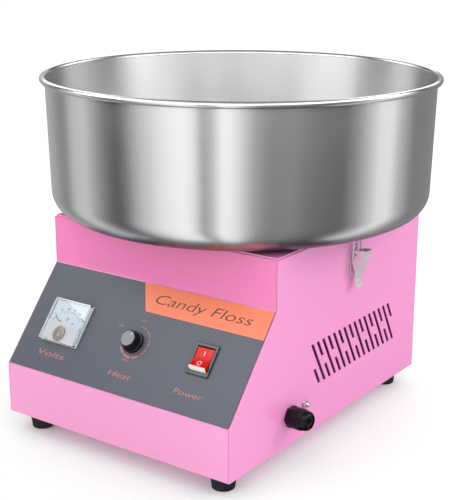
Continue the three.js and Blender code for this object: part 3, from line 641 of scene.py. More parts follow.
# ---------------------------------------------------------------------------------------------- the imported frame
class Packed:
    """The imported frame, and where each of its nodes belongs."""

    def __init__(self) -> None:
        """Loads the frame."""
        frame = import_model()
        self.nodes: dict[str, bpy.types.Object] = frame["nodes"]
        record = frame["record"]
        self.body_of = {n: body for body, names in record["behaviour"]["bodies"].items() for n in names}
        self.slot_of = {part["node"]: part["material_slot"] for part in record["subparts"]}
        self.joints = {joint["name"]: joint for joint in record["behaviour"]["joints"]}
        self.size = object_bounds()

    def install(self, piece: bpy.types.Object, finish: Finish | None, node: str,
                replaces: bool = True) -> bpy.types.Object:
        """Gives a finished piece its material, body and slot.

        Args:
            piece: The piece, in its place.
            finish: Its finish, or None where its faces have theirs already.
            node: The CAD node whose body and slot it takes.
            replaces: Whether it stands for that node.

        Returns:
            The piece.
        """
        if finish:
            piece.data.materials.clear()
            piece.data.materials.append(finish.material())
        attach(piece, self.body_of[node])
        if replaces:
            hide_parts(node)
        log.info("%s: %d faces", piece.name, len(piece.data.polygons))
        return piece

    def copied(self, node: str, name: str, whole: bool = True) -> bpy.types.Object:
        """A merged copy of a CAD node, ready for edge work.

        Args:
            node: The node to copy.
            name: The copy's name.
            whole: Whether its flat faces are made whole; a pierced one with a tight outline isn't.

        Returns:
            The copy.
        """
        deselect()
        bpy.ops.mesh.primitive_cube_add(size=MM)
        piece = named(name)
        piece.data = self.nodes[node].data.copy()
        piece.data.name = name
        activate(piece)
        bpy.ops.object.mode_set(mode="EDIT")
        bpy.ops.mesh.select_all(action="SELECT")
        bpy.ops.mesh.remove_doubles(threshold=MERGE)
        if whole:
            bpy.ops.mesh.dissolve_limited(angle_limit=math.radians(1))
        bpy.ops.object.mode_set(mode="OBJECT")
        return piece

    def dressed(self, node: str, finish: Finish, edge: float, segments: int = 2, angle: float = 25,
                keep: float = 40, whole: bool = True) -> bpy.types.Object:
        """A CAD node's shape with rounded edges, installed in its place.

        Args:
            node: The node to stand for.
            finish: Its finish.
            edge: The radius of its edges.
            segments: How finely they are rounded.
            angle: The sharpest edge that is left alone, in degrees.
            keep: The smooth shading's angle, in degrees.
            whole: Whether its flat faces are made whole first.

        Returns:
            The piece.
        """
        piece = self.copied(node, node + "_finished", whole)
        round_edges(piece, edge, segments, angle)
        smooth(piece, keep)
        return self.install(piece, finish, node)


# ---------------------------------------------------------------------------------------------- studio
@dataclass
class Studio:
    """A pale floor, an even white surround, two soft lights, and cards that only gloss sees."""

    camera_place: tuple[float, float, float] = (0.8551, -1.2139, 0.6385)
    camera_aim: tuple[float, float, float] = (-0.00063, -0.01159, 0.21144)
    camera_roll: float = 0.17  # degrees
    focal_length: float = 82.19  # for a 36 mm sensor
    surround: float = 1.12
    light_aim: tuple[float, float, float] = (0, 0, 0.2)
    key_place: tuple[float, float, float] = (1.6, 1.3, 1.2)
    key_size: float = 0.6
    key_energy: float = 12
    fill_place: tuple[float, float, float] = (-1.5, -1.6, 0.8)
    fill_size: float = 1.2
    fill_energy: float = 6
    floor_size: float = 60
    floor_colour: str = "#ECF6F0"
    floor_glow: float = 0.11
    tent_radius: float = 0.8
    tent_low: float = -1.0
    tent_split: float = 0.62
    tent_high: float = 1.2
    floor_card: float = 0.05
    ceiling_card: float = 0.35
    # The cards' brightness by where each shows across the bowl's wall, from -1 at its left to 1 at its right:
    # the low cards as its outside mirrors them, and the high cards as the far side of its inside does.
    low_cards: tuple[tuple[float, float], ...] = (
        (-0.98, 0.50), (-0.92, 0.35), (-0.87, 0.80), (-0.82, 0.85), (-0.77, 0.50), (-0.72, 0.20), (-0.66, 0.05),
        (-0.61, 0.20), (-0.56, 0.60), (-0.50, 0.90), (-0.40, 1.30), (-0.30, 1.45), (-0.25, 1.20), (-0.20, 0.42),
        (-0.15, 0.75), (-0.10, 1.50), (-0.04, 1.30), (0.01, 0.95), (0.06, 0.56), (0.11, 0.36), (0.17, 0.28),
        (0.27, 0.30), (0.37, 0.21), (0.47, 0.16), (0.55, 0.12), (0.61, 0.30), (0.68, 0.72), (0.73, 1.15),
        (0.78, 1.25), (0.84, 0.65), (0.90, 0.30),
    )
    high_cards: tuple[tuple[float, float], ...] = (
        (-0.99, 0.0), (-0.95, 0.50), (-0.90, 3.60), (-0.83, 1.50), (-0.75, 0.05), (-0.68, 0.05), (-0.61, 3.00),
        (-0.54, 4.60), (-0.35, 3.60), (0.30, 3.60), (0.48, 4.60), (0.57, 4.60), (0.64, 1.00), (0.70, 0.03),
        (0.76, 0.05), (0.81, 2.20), (0.87, 3.80), (0.92, 1.40), (0.98, 0.0),
    )

    def build(self, axis: Vector, wall_radius: float) -> None:
        """Makes the whole studio around a bowl.

        Args:
            axis: A point on the bowl's axis.
            wall_radius: The radius of the bowl's wall.
        """
        self.add_camera()
        self.add_surround()
        self.add_floor()
        self.add_softbox("key_softbox", self.key_place, self.key_size, self.key_energy)
        self.add_softbox("fill_softbox", self.fill_place, self.fill_size, self.fill_energy)
        self.add_cards("low_cards", axis, (self.tent_low, self.tent_split), self.low_cards, wall_radius)
        self.add_cards("high_cards", axis, (self.tent_split, self.tent_high), self.high_cards, -wall_radius)
        self.add_disc("floor_card", axis, self.tent_low, self.floor_card)
        self.add_disc("ceiling_card", axis, self.tent_high, self.ceiling_card)
        bpy.context.scene.view_settings.view_transform = "Standard"

    def add_camera(self) -> None:
        """The camera, at the front right and a little above."""
        deselect()
        place, aim = Vector(self.camera_place), Vector(self.camera_aim)
        bpy.ops.object.camera_add(location=place)
        camera = bpy.context.active_object
        roll = Matrix.Rotation(math.radians(self.camera_roll), 3, "Z")
        turn = (aim - place).to_track_quat("-Z", "Y").to_matrix() @ roll
        camera.rotation_euler = turn.to_euler()
        camera.data.lens = self.focal_length
        camera.data.clip_start, camera.data.clip_end = 0.05, 100
        bpy.context.scene.camera = camera

    def add_surround(self) -> None:
        """An even white world."""
        world = bpy.data.worlds.new("white_surround")
        world.use_nodes = True
        background = world.node_tree.nodes["Background"]
        background.inputs["Color"].default_value = WHITE
        background.inputs["Strength"].default_value = self.surround
        bpy.context.scene.world = world

    def add_floor(self) -> None:
        """A wide pale floor."""
        deselect()
        bpy.ops.mesh.primitive_plane_add(size=self.floor_size)
        floor = named("studio_floor")
        material = Finish("studio_floor", self.floor_colour, roughness=0.9, ior=1.2).material()
        shader = material.node_tree.nodes["Principled BSDF"]
        shader.inputs["Emission Color"].default_value = WHITE
        shader.inputs["Emission Strength"].default_value = self.floor_glow
        floor.data.materials.append(material)
        floor.visible_glossy = False
        floor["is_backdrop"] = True

    def add_softbox(self, name: str, place: tuple[float, float, float], size: float, energy: float) -> None:
        """A square soft light aimed at the machine, which gloss doesn't see.

        Args:
            name: The light's name.
            place: Where it stands.
            size: The length of its side.
            energy: Its power.
        """
        deselect()
        bpy.ops.object.light_add(type="AREA", location=place)
        light = bpy.context.active_object
        light.name = name
        way = Vector(self.light_aim) - Vector(place)
        light.rotation_euler = way.to_track_quat("-Z", "Y").to_euler()
        light.data.shape = "SQUARE"
        light.data.size = size
        light.data.energy = energy
        light.visible_glossy = False

    def add_cards(self, name: str, axis: Vector, span: tuple[float, float],
                  cards: tuple[tuple[float, float], ...], wall_radius: float) -> None:
        """A ring of light and dark cards round the bowl, seen by gloss only.

        Args:
            name: The ring's name.
            axis: A point on the bowl's axis.
            span: Its lowest and highest point.
            cards: Each card's place across the bowl's wall, and its brightness.
            wall_radius: The radius of the wall that mirrors them, which is negative for its inside.
        """
        places = sorted((self.turn_on_ring(axis, wall_radius, across), level) for across, level in cards)
        deselect()
        bpy.ops.mesh.primitive_cylinder_add(vertices=128, radius=self.tent_radius, depth=span[1] - span[0],
                                            end_fill_type="NOTHING", location=(0, 0, sum(span) / 2))
        ring = named(name)
        top = max(level for _, level in cards)
        material, glow = glowing(name, top)
        tree = material.node_tree
        place = add_node(tree, "TexCoord").outputs["Object"]
        turned = add_node(tree, "Mapping", Vector=place, Rotation=(0, 0, -self.view_angle(axis)))
        around = add_node(tree, "TexGradient", {"gradient_type": "RADIAL"}, Vector=turned.outputs["Vector"])
        ramp = add_node(tree, "ValToRGB", Fac=around.outputs["Fac"])
        ramp.color_ramp.interpolation = "EASE"
        stops = ramp.color_ramp.elements
        stops.remove(stops[1])
        stops[0].position = 0.5 + places[0][0] / math.tau
        for turn, _ in places[1:]:
            stops.new(0.5 + turn / math.tau)
        for stop, (_, level) in zip(stops, places):
            stop.color = (level / top,) * 3 + (1,)
        tree.links.new(ramp.outputs["Color"], glow.inputs["Color"])
        ring.data.materials.append(material)
        ring.location = (axis.x, axis.y, 0)
        self.for_gloss_only(ring)

    def add_disc(self, name: str, axis: Vector, height: float, brightness: float) -> None:
        """A disc that closes the rings of cards below or above the bowl.

        Args:
            name: The disc's name.
            axis: A point on the bowl's axis.
            height: How high it lies.
            brightness: How bright it is.
        """
        deselect()
        bpy.ops.mesh.primitive_circle_add(vertices=64, radius=self.tent_radius, fill_type="NGON",
                                          location=(axis.x, axis.y, height))
        disc = named(name)
        disc.data.materials.append(glowing(name, brightness)[0])
        self.for_gloss_only(disc)

    def for_gloss_only(self, card: bpy.types.Object) -> None:
        """Hides a card from all but reflections."""
        for way in ("camera", "diffuse", "transmission", "shadow", "volume_scatter"):
            setattr(card, "visible_" + way, False)
        card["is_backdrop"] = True

    def view_angle(self, axis: Vector) -> float:
        """The direction from the bowl's axis to the camera, in the floor plane."""
        return math.atan2(self.camera_place[1] - axis.y, self.camera_place[0] - axis.x)

    def turn_on_ring(self, axis: Vector, wall_radius: float, across: float) -> float:
        """Where on the ring of cards the camera sees one mirrored in the bowl's wall.

        Args:
            axis: A point on the bowl's axis.
            wall_radius: The wall's radius: the outside's near wall, or the inside's far wall if it is negative.
            across: The place across the wall, from -1 to 1.

        Returns:
            The angle round the ring, counted from the camera's direction.
        """
        distance = math.hypot(self.camera_place[0] - axis.x, self.camera_place[1] - axis.y)
        limb = math.asin(abs(wall_radius) / distance) * 0.999  # just inside the wall's edge
        slope = across * limb
        ray = Vector((-math.cos(slope), math.sin(slope)))
        eye = Vector((distance, 0))
        middle = -eye.dot(ray)
        reach = middle - math.copysign(math.sqrt(middle ** 2 - distance ** 2 + wall_radius ** 2), wall_radius)
        struck = eye + ray * reach
        normal = struck.normalized()
        away = ray - 2 * ray.dot(normal) * normal
        side = struck.dot(away)
        lands = struck + away * (math.sqrt(side ** 2 - struck.length_squared + self.tent_radius ** 2) - side)
        return math.atan2(lands.y, lands.x)


# ---------------------------------------------------------------------------------------------- bowl
def arc(centre: tuple[float, float], radius: float, start: float, end: float,
        count: int) -> list[tuple[float, float]]:
    """Points on an arc between two angles in degrees."""
    angles = [math.radians(start + (end - start) * i / count) for i in range(count + 1)]
    return [(centre[0] + radius * math.cos(a), centre[1] + radius * math.sin(a)) for a in angles]


@dataclass
class Bowl:
    """The lift-off bowl: a spun wall with a rolled bead, a flat floor with a hole, and two latch catches."""

    sheet: float = 1.0 * MM
    bead: float = 4.0 * MM
    wall_top: float = 251.9 * MM
    wall_foot: float = 248.3 * MM
    corner: float = 30 * MM
    hole: float = 95 * MM
    steps: int = 200
    seat_ring: tuple[float, float] = (90.2 * MM, 94.2 * MM)
    seat_flange: float = 112 * MM

    def build(self, packed: Packed) -> None:
        """Makes the bowl and dresses its catches and seat.

        Args:
            packed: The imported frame.
        """
        low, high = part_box("bowl")
        axis = (low + high) / 2
        floor, rim = low.z + self.sheet, high.z - self.bead
        bead_at = ((high.x - low.x) / 2 - self.bead, rim)
        foot_at = (self.wall_foot - self.corner, floor + self.corner)
        inside = [
            (self.hole, floor), *arc(foot_at, self.corner, -90, 0, 14), *arc(bead_at, self.bead, 190, -95, 40),
        ]
        outside = [
            *arc(bead_at, self.bead - self.sheet, -95, 190, 40)[:-1],
            (self.wall_top + self.sheet, rim - self.bead),
            *arc(foot_at, self.corner + self.sheet, 0, -90, 14), (self.hole, floor - self.sheet),
        ]
        shell = spun("bowl_shell", inside + outside, self.steps)
        smooth(shell, 30)
        self.finish_shell(shell, rim)
        packed.install(moved(shell, Matrix.Translation((axis.x, axis.y, 0))), None, "bowl")
        for side in Side:
            packed.dressed(f"bowl_catch_{side.value}", SHEET_STAINLESS, 0.4 * MM)
        self.add_seat(packed)

    def finish_shell(self, shell: bpy.types.Object, rim: float) -> None:
        """Polishes the outside and the bead, and leaves the inside brushed.

        Args:
            shell: The bowl, still standing on the axis.
            rim: The height of the bead's middle.
        """
        for finish in (STAINLESS, BOWL_INSIDE):
            shell.data.materials.append(finish.material())
        for polygon in shell.data.polygons:
            out = Vector((polygon.center.x, polygon.center.y, 0)).normalized()
            inward = polygon.normal.dot(out) < -0.2 or polygon.normal.z > 0.5
            polygon.material_index = int(inward and polygon.center.z < rim - self.bead)

    def add_seat(self, packed: Packed) -> None:
        """Makes the silicone ring that the bowl's hole sits on."""
        low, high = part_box("bowl_seat")
        inner, outer = self.seat_ring
        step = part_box("bowl")[0].z - 0.4 * MM
        ring = spun("bowl_seat_ring", [(inner, low.z), (self.seat_flange, low.z), (self.seat_flange, step),
                                       (outer, step), (outer, high.z), (inner, high.z)], 144)
        round_edges(ring, 0.9 * MM, 3)
        smooth(ring, 40)
        middle = (low + high) / 2
        packed.install(moved(ring, Matrix.Translation((middle.x, middle.y, 0))), SILICONE, "bowl_seat")


# ---------------------------------------------------------------------------------------------- housing
@dataclass
class Housing:
    """The sheet-steel housing: folded panels with rounded edges, rear screws, and moulded feet."""

    edge: float = 0.4 * MM
    fold: float = 1.2 * MM
    foot_top: float = 17 * MM
    foot_base: float = 14 * MM
    foot_bore: float = 4.5 * MM
    screw_head: float = 3.6 * MM

    def build(self, packed: Packed) -> None:
        """Makes the panels, feet and screws.

        Args:
            packed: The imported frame.
        """
        for node in ("side_panel_left", "side_panel_right", "rear_panel", "top_deck", "base_plate"):
            packed.dressed(node, PINK, self.edge)
        self.add_casing(packed)
        for place in ("front_left", "front_right", "rear_left", "rear_right"):
            self.add_foot(packed, "foot_" + place)
        self.add_rear_screws(packed)

    def add_casing(self, packed: Packed) -> None:
        """Makes the front casing, whose long bends are rounder than its cut edges."""
        casing = packed.copied("front_casing", "front_casing_finished")
        activate(casing)
        bpy.ops.object.mode_set(mode="EDIT")
        mesh = bmesh.from_edit_mesh(casing.data)
        for edge in mesh.edges:
            span = edge.verts[0].co - edge.verts[1].co
            flat = all(abs(face.normal.x) < 0.1 and face.calc_area() > 0.001 for face in edge.link_faces)
            bent = len(edge.link_faces) == 2 and math.radians(20) < edge.calc_face_angle(0) < math.radians(70)
            edge.select_set(abs(span.x) > 0.3 and flat and bent)
        bmesh.update_edit_mesh(casing.data)
        bpy.ops.mesh.bevel(offset=self.fold, segments=4, profile=0.5)
        bpy.ops.object.mode_set(mode="OBJECT")
        round_edges(casing, self.edge, 2, 40)
        smooth(casing, 30)
        # the casing's coat paints the bowl's shade onto its upper fascia
        packed.install(casing, FRONT_PINK_WITH_PAINTED_SHADE, "front_casing")

    def add_foot(self, packed: Packed, node: str) -> None:
        """Turns one moulded foot, with its sunk screw."""
        low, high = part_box(node)
        middle = (low + high) / 2
        top, base, bore = self.foot_top, self.foot_base, self.foot_bore
        tall = high.z - low.z
        foot = spun(node + "_moulded", [
            (0, 0.55 * tall), (bore, 0.55 * tall), (bore, 0), (base - 3 * MM, 0), (base, 0.6 * MM),
            (base + 0.6 * MM, 0.3 * tall), (top, tall - 3 * MM), (top, tall), (0, tall),
        ], 72, closed=False)
        round_edges(foot, 0.7 * MM, 3)
        smooth(foot, 40)
        packed.install(moved(foot, Matrix.Translation((middle.x, middle.y, low.z))), RUBBER, node)
        screw = self.screw(node + "_screw", 0.52 * tall - 2.2 * MM)
        place = Matrix.Translation((middle.x, middle.y, low.z + 0.55 * tall)) @ Matrix.Rotation(math.pi, 4, "X")
        packed.install(moved(screw, place), PLATE, node, replaces=False)

    def screw(self, name: str, length: float = 2 * MM) -> bpy.types.Object:
        """A pan-head screw with a cross recess, standing on the origin along Z."""
        head = self.screw_head
        shank = 1.5 * MM
        screw = spun(name, [(0, 2.2 * MM), (1.6 * MM, 2.1 * MM), (2.8 * MM, 1.6 * MM), (head, 0.6 * MM),
                            (head, 0), (shank, 0), (shank, -length), (0, -length)], 32, closed=False)
        for turn in (0, math.pi / 2):
            slot = block("slot", (-2.2 * MM, -0.4 * MM, 1.1 * MM), (2.2 * MM, 0.4 * MM, 3 * MM))
            carve(screw, moved(slot, Matrix.Rotation(turn, 4, "Z")))
        smooth(screw, 40)
        return screw

    def add_rear_screws(self, packed: Packed) -> None:
        """Puts six screws round the edge of the rear panel."""
        low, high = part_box("rear_panel")
        inset = 9 * MM
        for column, x in enumerate((low.x + inset, 0, high.x - inset)):
            for row, z in enumerate((low.z + inset, high.z - inset)):
                screw = self.screw(f"rear_screw_{column}_{row}", 1 * MM)
                place = Matrix.Translation((x, high.y, z)) @ Matrix.Rotation(-math.pi / 2, 4, "X")
                packed.install(moved(screw, place), PLATE, "rear_panel", replaces=False)


# ---------------------------------------------------------------------------------------------- control panel
@dataclass
class ControlPanel:
    """The sloped panel's printed overlay. X runs right, Y up the slope from the fold, and Z out of it."""

    knob: tuple[float, float] = (0.6 * MM, 68.6 * MM)
    face: float = 1.2 * MM  # the overlay's face above the panel's origin
    ink: float = 0.05 * MM
    field_low: float = 110.5 * MM
    field_high: float = 146.6 * MM
    field_right: float = 173.0 * MM
    field_left: tuple[float, float] = (-2 * MM, -21 * MM)  # at its bottom and its top
    title_middle: tuple[float, float] = (75 * MM, 129 * MM)
    title_width: float = 144 * MM
    dial: tuple[float, float] = (2.6 * MM, 69.7 * MM)
    dial_radius: float = 20.3 * MM
    labels: tuple[tuple[str, float, float, float], ...] = (
        ("Volts", -115, 26, 44), ("Heat", -1, 25, 36), ("Power", 103, 26, 42),
    )
    dial_words: tuple[tuple[str, float, float], ...] = (("OFF", -28, 85), ("LOW", 1, 98), ("HIGH", -1, 45))

    def frame(self, packed: Packed) -> Matrix:
        """The panel's own frame, from the knob's joint and the overlay's face."""
        joint = packed.joints["heat_knob_turn"]
        out, across = Vector(joint["axis"]).normalized(), Vector((1, 0, 0))
        up = out.cross(across)
        face = max(vertex.co.dot(out) for vertex in packed.nodes["control_overlay"].data.vertices)
        origin = Vector(joint["pos_m"]) - across * self.knob[0] - up * self.knob[1]
        origin += out * (face - self.face - origin.dot(out))
        turn = Matrix((across, up, out)).transposed().to_4x4()
        return Matrix.Translation(origin) @ turn

    def build(self, packed: Packed) -> None:
        """Dresses the overlay and prints on it.

        Args:
            packed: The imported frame.
        """
        packed.dressed("control_overlay", FILM, 0.25 * MM)
        frame = self.frame(packed)
        for piece, finish in (*self.title(), *self.knob_scale(), *self.words()):
            packed.install(moved(piece, frame), finish, "control_overlay", replaces=False)

    def title(self) -> list[tuple[bpy.types.Object, Finish]]:
        """The title's field and its words."""
        field = block("title_field", (self.field_left[1], self.field_low, self.face),
                      (self.field_right, self.field_high, self.face + self.ink))
        for vertex in field.data.vertices:
            if vertex.co.x < 0 and vertex.co.y < self.field_high - MM:
                vertex.co.x = self.field_left[0]
        words = lettering("title_words", "Candy Floss", 13 * MM, self.title_middle, slant=0.28,
                          width=self.title_width, level=self.face + self.ink, weight=-0.15 * MM)
        return [(field, ORANGE_INK), (words, BROWN_INK)]

    def knob_scale(self) -> list[tuple[bpy.types.Object, Finish]]:
        """The heat scale: arcs round the knob that thicken clockwise."""
        arcs = []
        for step in range(7):
            half = (0.35 + 0.13 * step) * MM
            outline = [(self.dial_radius - half, 0), (self.dial_radius + half, 0),
                       (self.dial_radius + half, self.ink), (self.dial_radius - half, self.ink)]
            segment = spun(f"heat_scale_{step}", outline, 12, start=64 - step * 36, turn=-30)
            arcs.append(moved(segment, Matrix.Translation((*self.dial, self.face))))
        return [(together("heat_scale", arcs), SALMON_INK)]

    def words(self) -> list[tuple[bpy.types.Object, Finish]]:
        """The generic labels of the three controls and of the heat scale."""
        large = [lettering("label_" + word.lower(), word, 7 * MM, (x * MM, y * MM), slant=0.2, width=width * MM,
                           level=self.face, weight=-0.08 * MM) for word, x, y, width in self.labels]
        small = [lettering("mark_" + word.lower(), word, 3 * MM, (x * MM, y * MM), slant=0.2, level=self.face)
                 for word, x, y in self.dial_words]
        return [(piece, SALMON_INK) for piece in large + small]


@dataclass
class Voltmeter:
    """A panel voltmeter: case, card, needle, clear cover with a frosted skirt, and a zero screw."""

    x: float = -109 * MM
    pivot_y: float = 58 * MM
    zero_y: float = 50 * MM
    hump_y: float = 52.4 * MM
    flange_top: float = 1.2 * MM
    card_top: float = 4.6 * MM
    cover_top: float = 9.6 * MM
    skirt_half: float = 26.5 * MM
    skirt_foot: float = 43.4 * MM
    skirt_top: float = 68.5 * MM
    card_screw: tuple[float, float] = (10.5 * MM, 69.5 * MM)  # either side of the middle
    divisions: int = 25
    scale_radius: float = 25 * MM
    sweep: tuple[float, float] = (139, 41)
    volts: tuple[int, ...] = (0, 50, 100, 150, 200, 250)

    def build(self, packed: Packed, frame: Matrix) -> None:
        """Dresses the CAD pieces and adds the print, skirt, hump and screws.

        Args:
            packed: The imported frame.
            frame: The panel's frame.
        """
        case = packed.dressed("meter_case", SATIN_BLACK, 0.6 * MM)
        case.data.materials.append(PALE_FLANGE.material())
        for polygon in case.data.polygons:
            polygon.material_index = int((frame.inverted() @ polygon.center).z > self.flange_top)
        packed.dressed("meter_dial", CARD, 0.15 * MM)
        packed.dressed("meter_needle", NEEDLE_RED, 0.05 * MM, 1)
        packed.dressed("meter_cover", ACRYLIC, 0.9 * MM, 3).visible_shadow = False
        pieces = [(self.scale(), DARK_INK, "meter_dial"), (self.skirt(), FROSTED, "meter_cover"),
                  (self.hump(), SMOKED, "meter_cover"), (self.card_screws(), SATIN_BLACK, "meter_dial")]
        for piece, finish, node in pieces:
            packed.install(moved(piece, frame), finish, node, replaces=False)
            piece.visible_shadow = node != "meter_cover"  # daylight goes straight through a clear cover
        packed.install(moved(self.zero_screw(), frame), SHEET_STAINLESS, "meter_zero_screw")

    def scale(self) -> bpy.types.Object:
        """The printed arc, its ticks, its numbers and the V."""
        first, last = self.sweep
        radius, ink = self.scale_radius, 0.06 * MM
        outer = radius + 0.8 * MM
        parts = [spun("scale_arc", [(radius, 0), (outer, 0), (outer, ink), (radius, ink)], 40, start=first,
                      turn=last - first)]
        for tick in range(self.divisions + 1):
            length, half = (3.2 * MM, 0.16 * MM) if tick % 5 == 0 else (1.9 * MM, 0.1 * MM)
            mark = block("tick", (radius, -half, 0), (radius + length, half, ink))
            turn = math.radians(first + (last - first) * tick / self.divisions)
            parts.append(moved(mark, Matrix.Rotation(turn, 4, "Z")))
        for i, value in enumerate(self.volts):
            angle = math.radians(first + (last - first) * i / (len(self.volts) - 1))
            place = ((radius + 5.2 * MM) * math.cos(angle), (radius + 5.2 * MM) * math.sin(angle))
            word = lettering("number", str(value), 2.3 * MM, (0, 0), thickness=ink, weight=0.03 * MM)
            upright = Matrix.Translation((*place, 0)) @ Matrix.Rotation(angle - math.pi / 2, 4, "Z")
            parts.append(moved(word, upright))
        parts.append(lettering("unit", "V", 5.5 * MM, (0, 15.5 * MM), thickness=ink, weight=0.05 * MM))
        scale = together("meter_scale_print", parts)
        return moved(scale, Matrix.Translation((self.x, self.pivot_y, self.card_top)))

    def skirt(self) -> bpy.types.Object:
        """The frosted lower part of the cover, just under its face, with a hole for the zero screw."""
        low, high = self.cover_top - 2.4 * MM, self.cover_top - 1.8 * MM
        skirt = block("meter_skirt", (self.x - self.skirt_half, self.skirt_foot, low),
                      (self.x + self.skirt_half, self.skirt_top, high))
        carve(skirt, post("hole", 2.9 * MM, low - MM, high + MM, (self.x, self.zero_y)))
        round_edges(skirt, 0.2 * MM, 2, 60)
        smooth(skirt, 35)
        return skirt

    def hump(self) -> bpy.types.Object:
        """The arched hump in the cover's face round the zero screw."""
        radius, hole, low, high = 9 * MM, 3.1 * MM, self.cover_top - 0.4 * MM, self.cover_top + 1.3 * MM
        arch = spun("meter_hump", [(hole, low), (radius, low), (radius, high - 0.5 * MM),
                                   (radius - 1.2 * MM, high), (hole, high)], 48)
        round_edges(arch, 0.3 * MM, 3)
        smooth(arch, 50)
        stretched = Matrix.Translation((self.x, self.hump_y, 0)) @ Matrix.Diagonal((1, 1.12, 1, 1))
        return moved(arch, stretched)

    def card_screws(self) -> bpy.types.Object:
        """The two small screws that hold the scale card."""
        screws = []
        out, up = self.card_screw
        for side in (-1, 1):
            screw = post("card_screw", 1.1 * MM, 0, 0.7 * MM, sides=20)
            carve(screw, block("slot", (-1.3 * MM, -0.2 * MM, 0.35 * MM), (1.3 * MM, 0.2 * MM, MM)))
            screws.append(moved(screw, Matrix.Translation((self.x + side * out, up, self.card_top))))
        return together("meter_card_screws", screws)

    def zero_screw(self) -> bpy.types.Object:
        """The slotted zero adjuster."""
        low, high = self.cover_top - 2.2 * MM, self.cover_top + 0.9 * MM
        screw = spun("meter_zero_adjuster", [(0, low), (2.6 * MM, low), (2.6 * MM, high - 0.4 * MM),
                                             (2.2 * MM, high), (0, high)], 32, closed=False)
        carve(screw, block("slot", (-3 * MM, -0.4 * MM, high - 0.8 * MM), (3 * MM, 0.4 * MM, high + MM)))
        smooth(screw, 40)
        return moved(screw, Matrix.Translation((self.x, self.zero_y, 0)))


@dataclass
class HeatKnob:
    """The heat control: a fluted black knob with a grey inlaid cap, on a potentiometer."""

    centre: tuple[float, float] = (0.6 * MM, 68.6 * MM)
    low: float = 2 * MM
    top: float = 15.6 * MM
    skirt: float = 14.2 * MM
    grip: float = 11.0 * MM
    cap: float = 9.6 * MM
    recess: tuple[float, float] = (8.6 * MM, 7.6 * MM)  # its radius and its top
    flutes: int = 24
    flute_depth: float = 0.45 * MM
    notch_turn: float = 66  # the pointer's direction at rest, in degrees from the panel's X

    def build(self, packed: Packed, frame: Matrix) -> None:
        """Makes the knob and dresses the potentiometer.

        Args:
            packed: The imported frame.
            frame: The panel's frame.
        """
        place = frame @ Matrix.Translation((*self.centre, 0))
        packed.install(moved(self.body(), place), SATIN_BLACK, "knob")
        packed.install(moved(self.inlay(), place), GREY_CAP, "knob_cap")
        packed.install(moved(self.pointer(), place), WHITE_INK, "knob", replaces=False)
        packed.dressed("pot_body", PLATE, 0.5 * MM)
        packed.dressed("pot_shaft", PLATE, 0.4 * MM)

    def body(self) -> bpy.types.Object:
        """The knob's body, fluted above its skirt."""
        low, top, cap, grip, skirt = self.low, self.top, self.cap + 0.4 * MM, self.grip, self.skirt
        recess, recess_top = self.recess
        body = spun("knob_body", [
            (0, top - 1.2 * MM), (cap, top - 1.2 * MM), (cap, top - 0.2 * MM),
            (grip - 0.7 * MM, top - 0.1 * MM), (grip - 0.2 * MM, top - 0.6 * MM), (grip, top - 1.4 * MM),
            (grip + 0.5 * MM, low + 4.2 * MM), (grip + 0.7 * MM, low + 3.4 * MM),
            (skirt - 0.2 * MM, low + 3.0 * MM), (skirt, low + 2.6 * MM), (skirt, low), (recess, low),
            (recess, recess_top), (0, recess_top),
        ], self.flutes * 8, closed=False)

        def flute(out: float, angle: float, z: float) -> float:
            """Shrinks the grip in each flute."""
            gripped = out > grip - 0.9 * MM and low + 4 * MM < z < top - 0.3 * MM
            return 1 - self.flute_depth * max(0.0, math.cos(self.flutes * angle)) / out if gripped else 1

        reshape(body, flute)
        smooth(body, 40)
        return body

    def inlay(self) -> bpy.types.Object:
        """The grey cap, with its edge notched at the pointer."""
        low, high = self.top - 0.8 * MM, self.top + 0.4 * MM
        cap = spun("knob_inlay", [(0, low), (self.cap, low), (self.cap, high), (0, high)], 72, closed=False)
        notch = block("notch", (self.cap - 4.4 * MM, -1.1 * MM, self.top - 2 * MM),
                      (self.cap + MM, 1.1 * MM, high + MM))
        carve(cap, moved(notch, Matrix.Rotation(math.radians(self.notch_turn), 4, "Z")))
        round_edges(cap, 0.25 * MM, 3)
        smooth(cap, 40)
        return cap

    def pointer(self) -> bpy.types.Object:
        """The white line in the cap's notch."""
        line = block("knob_pointer", (self.cap - 4.2 * MM, -0.6 * MM, self.top - 0.9 * MM),
                     (self.cap - 0.2 * MM, 0.6 * MM, self.top + 0.15 * MM))
        round_edges(line, 0.15 * MM, 2)
        return moved(line, Matrix.Rotation(math.radians(self.notch_turn), 4, "Z"))


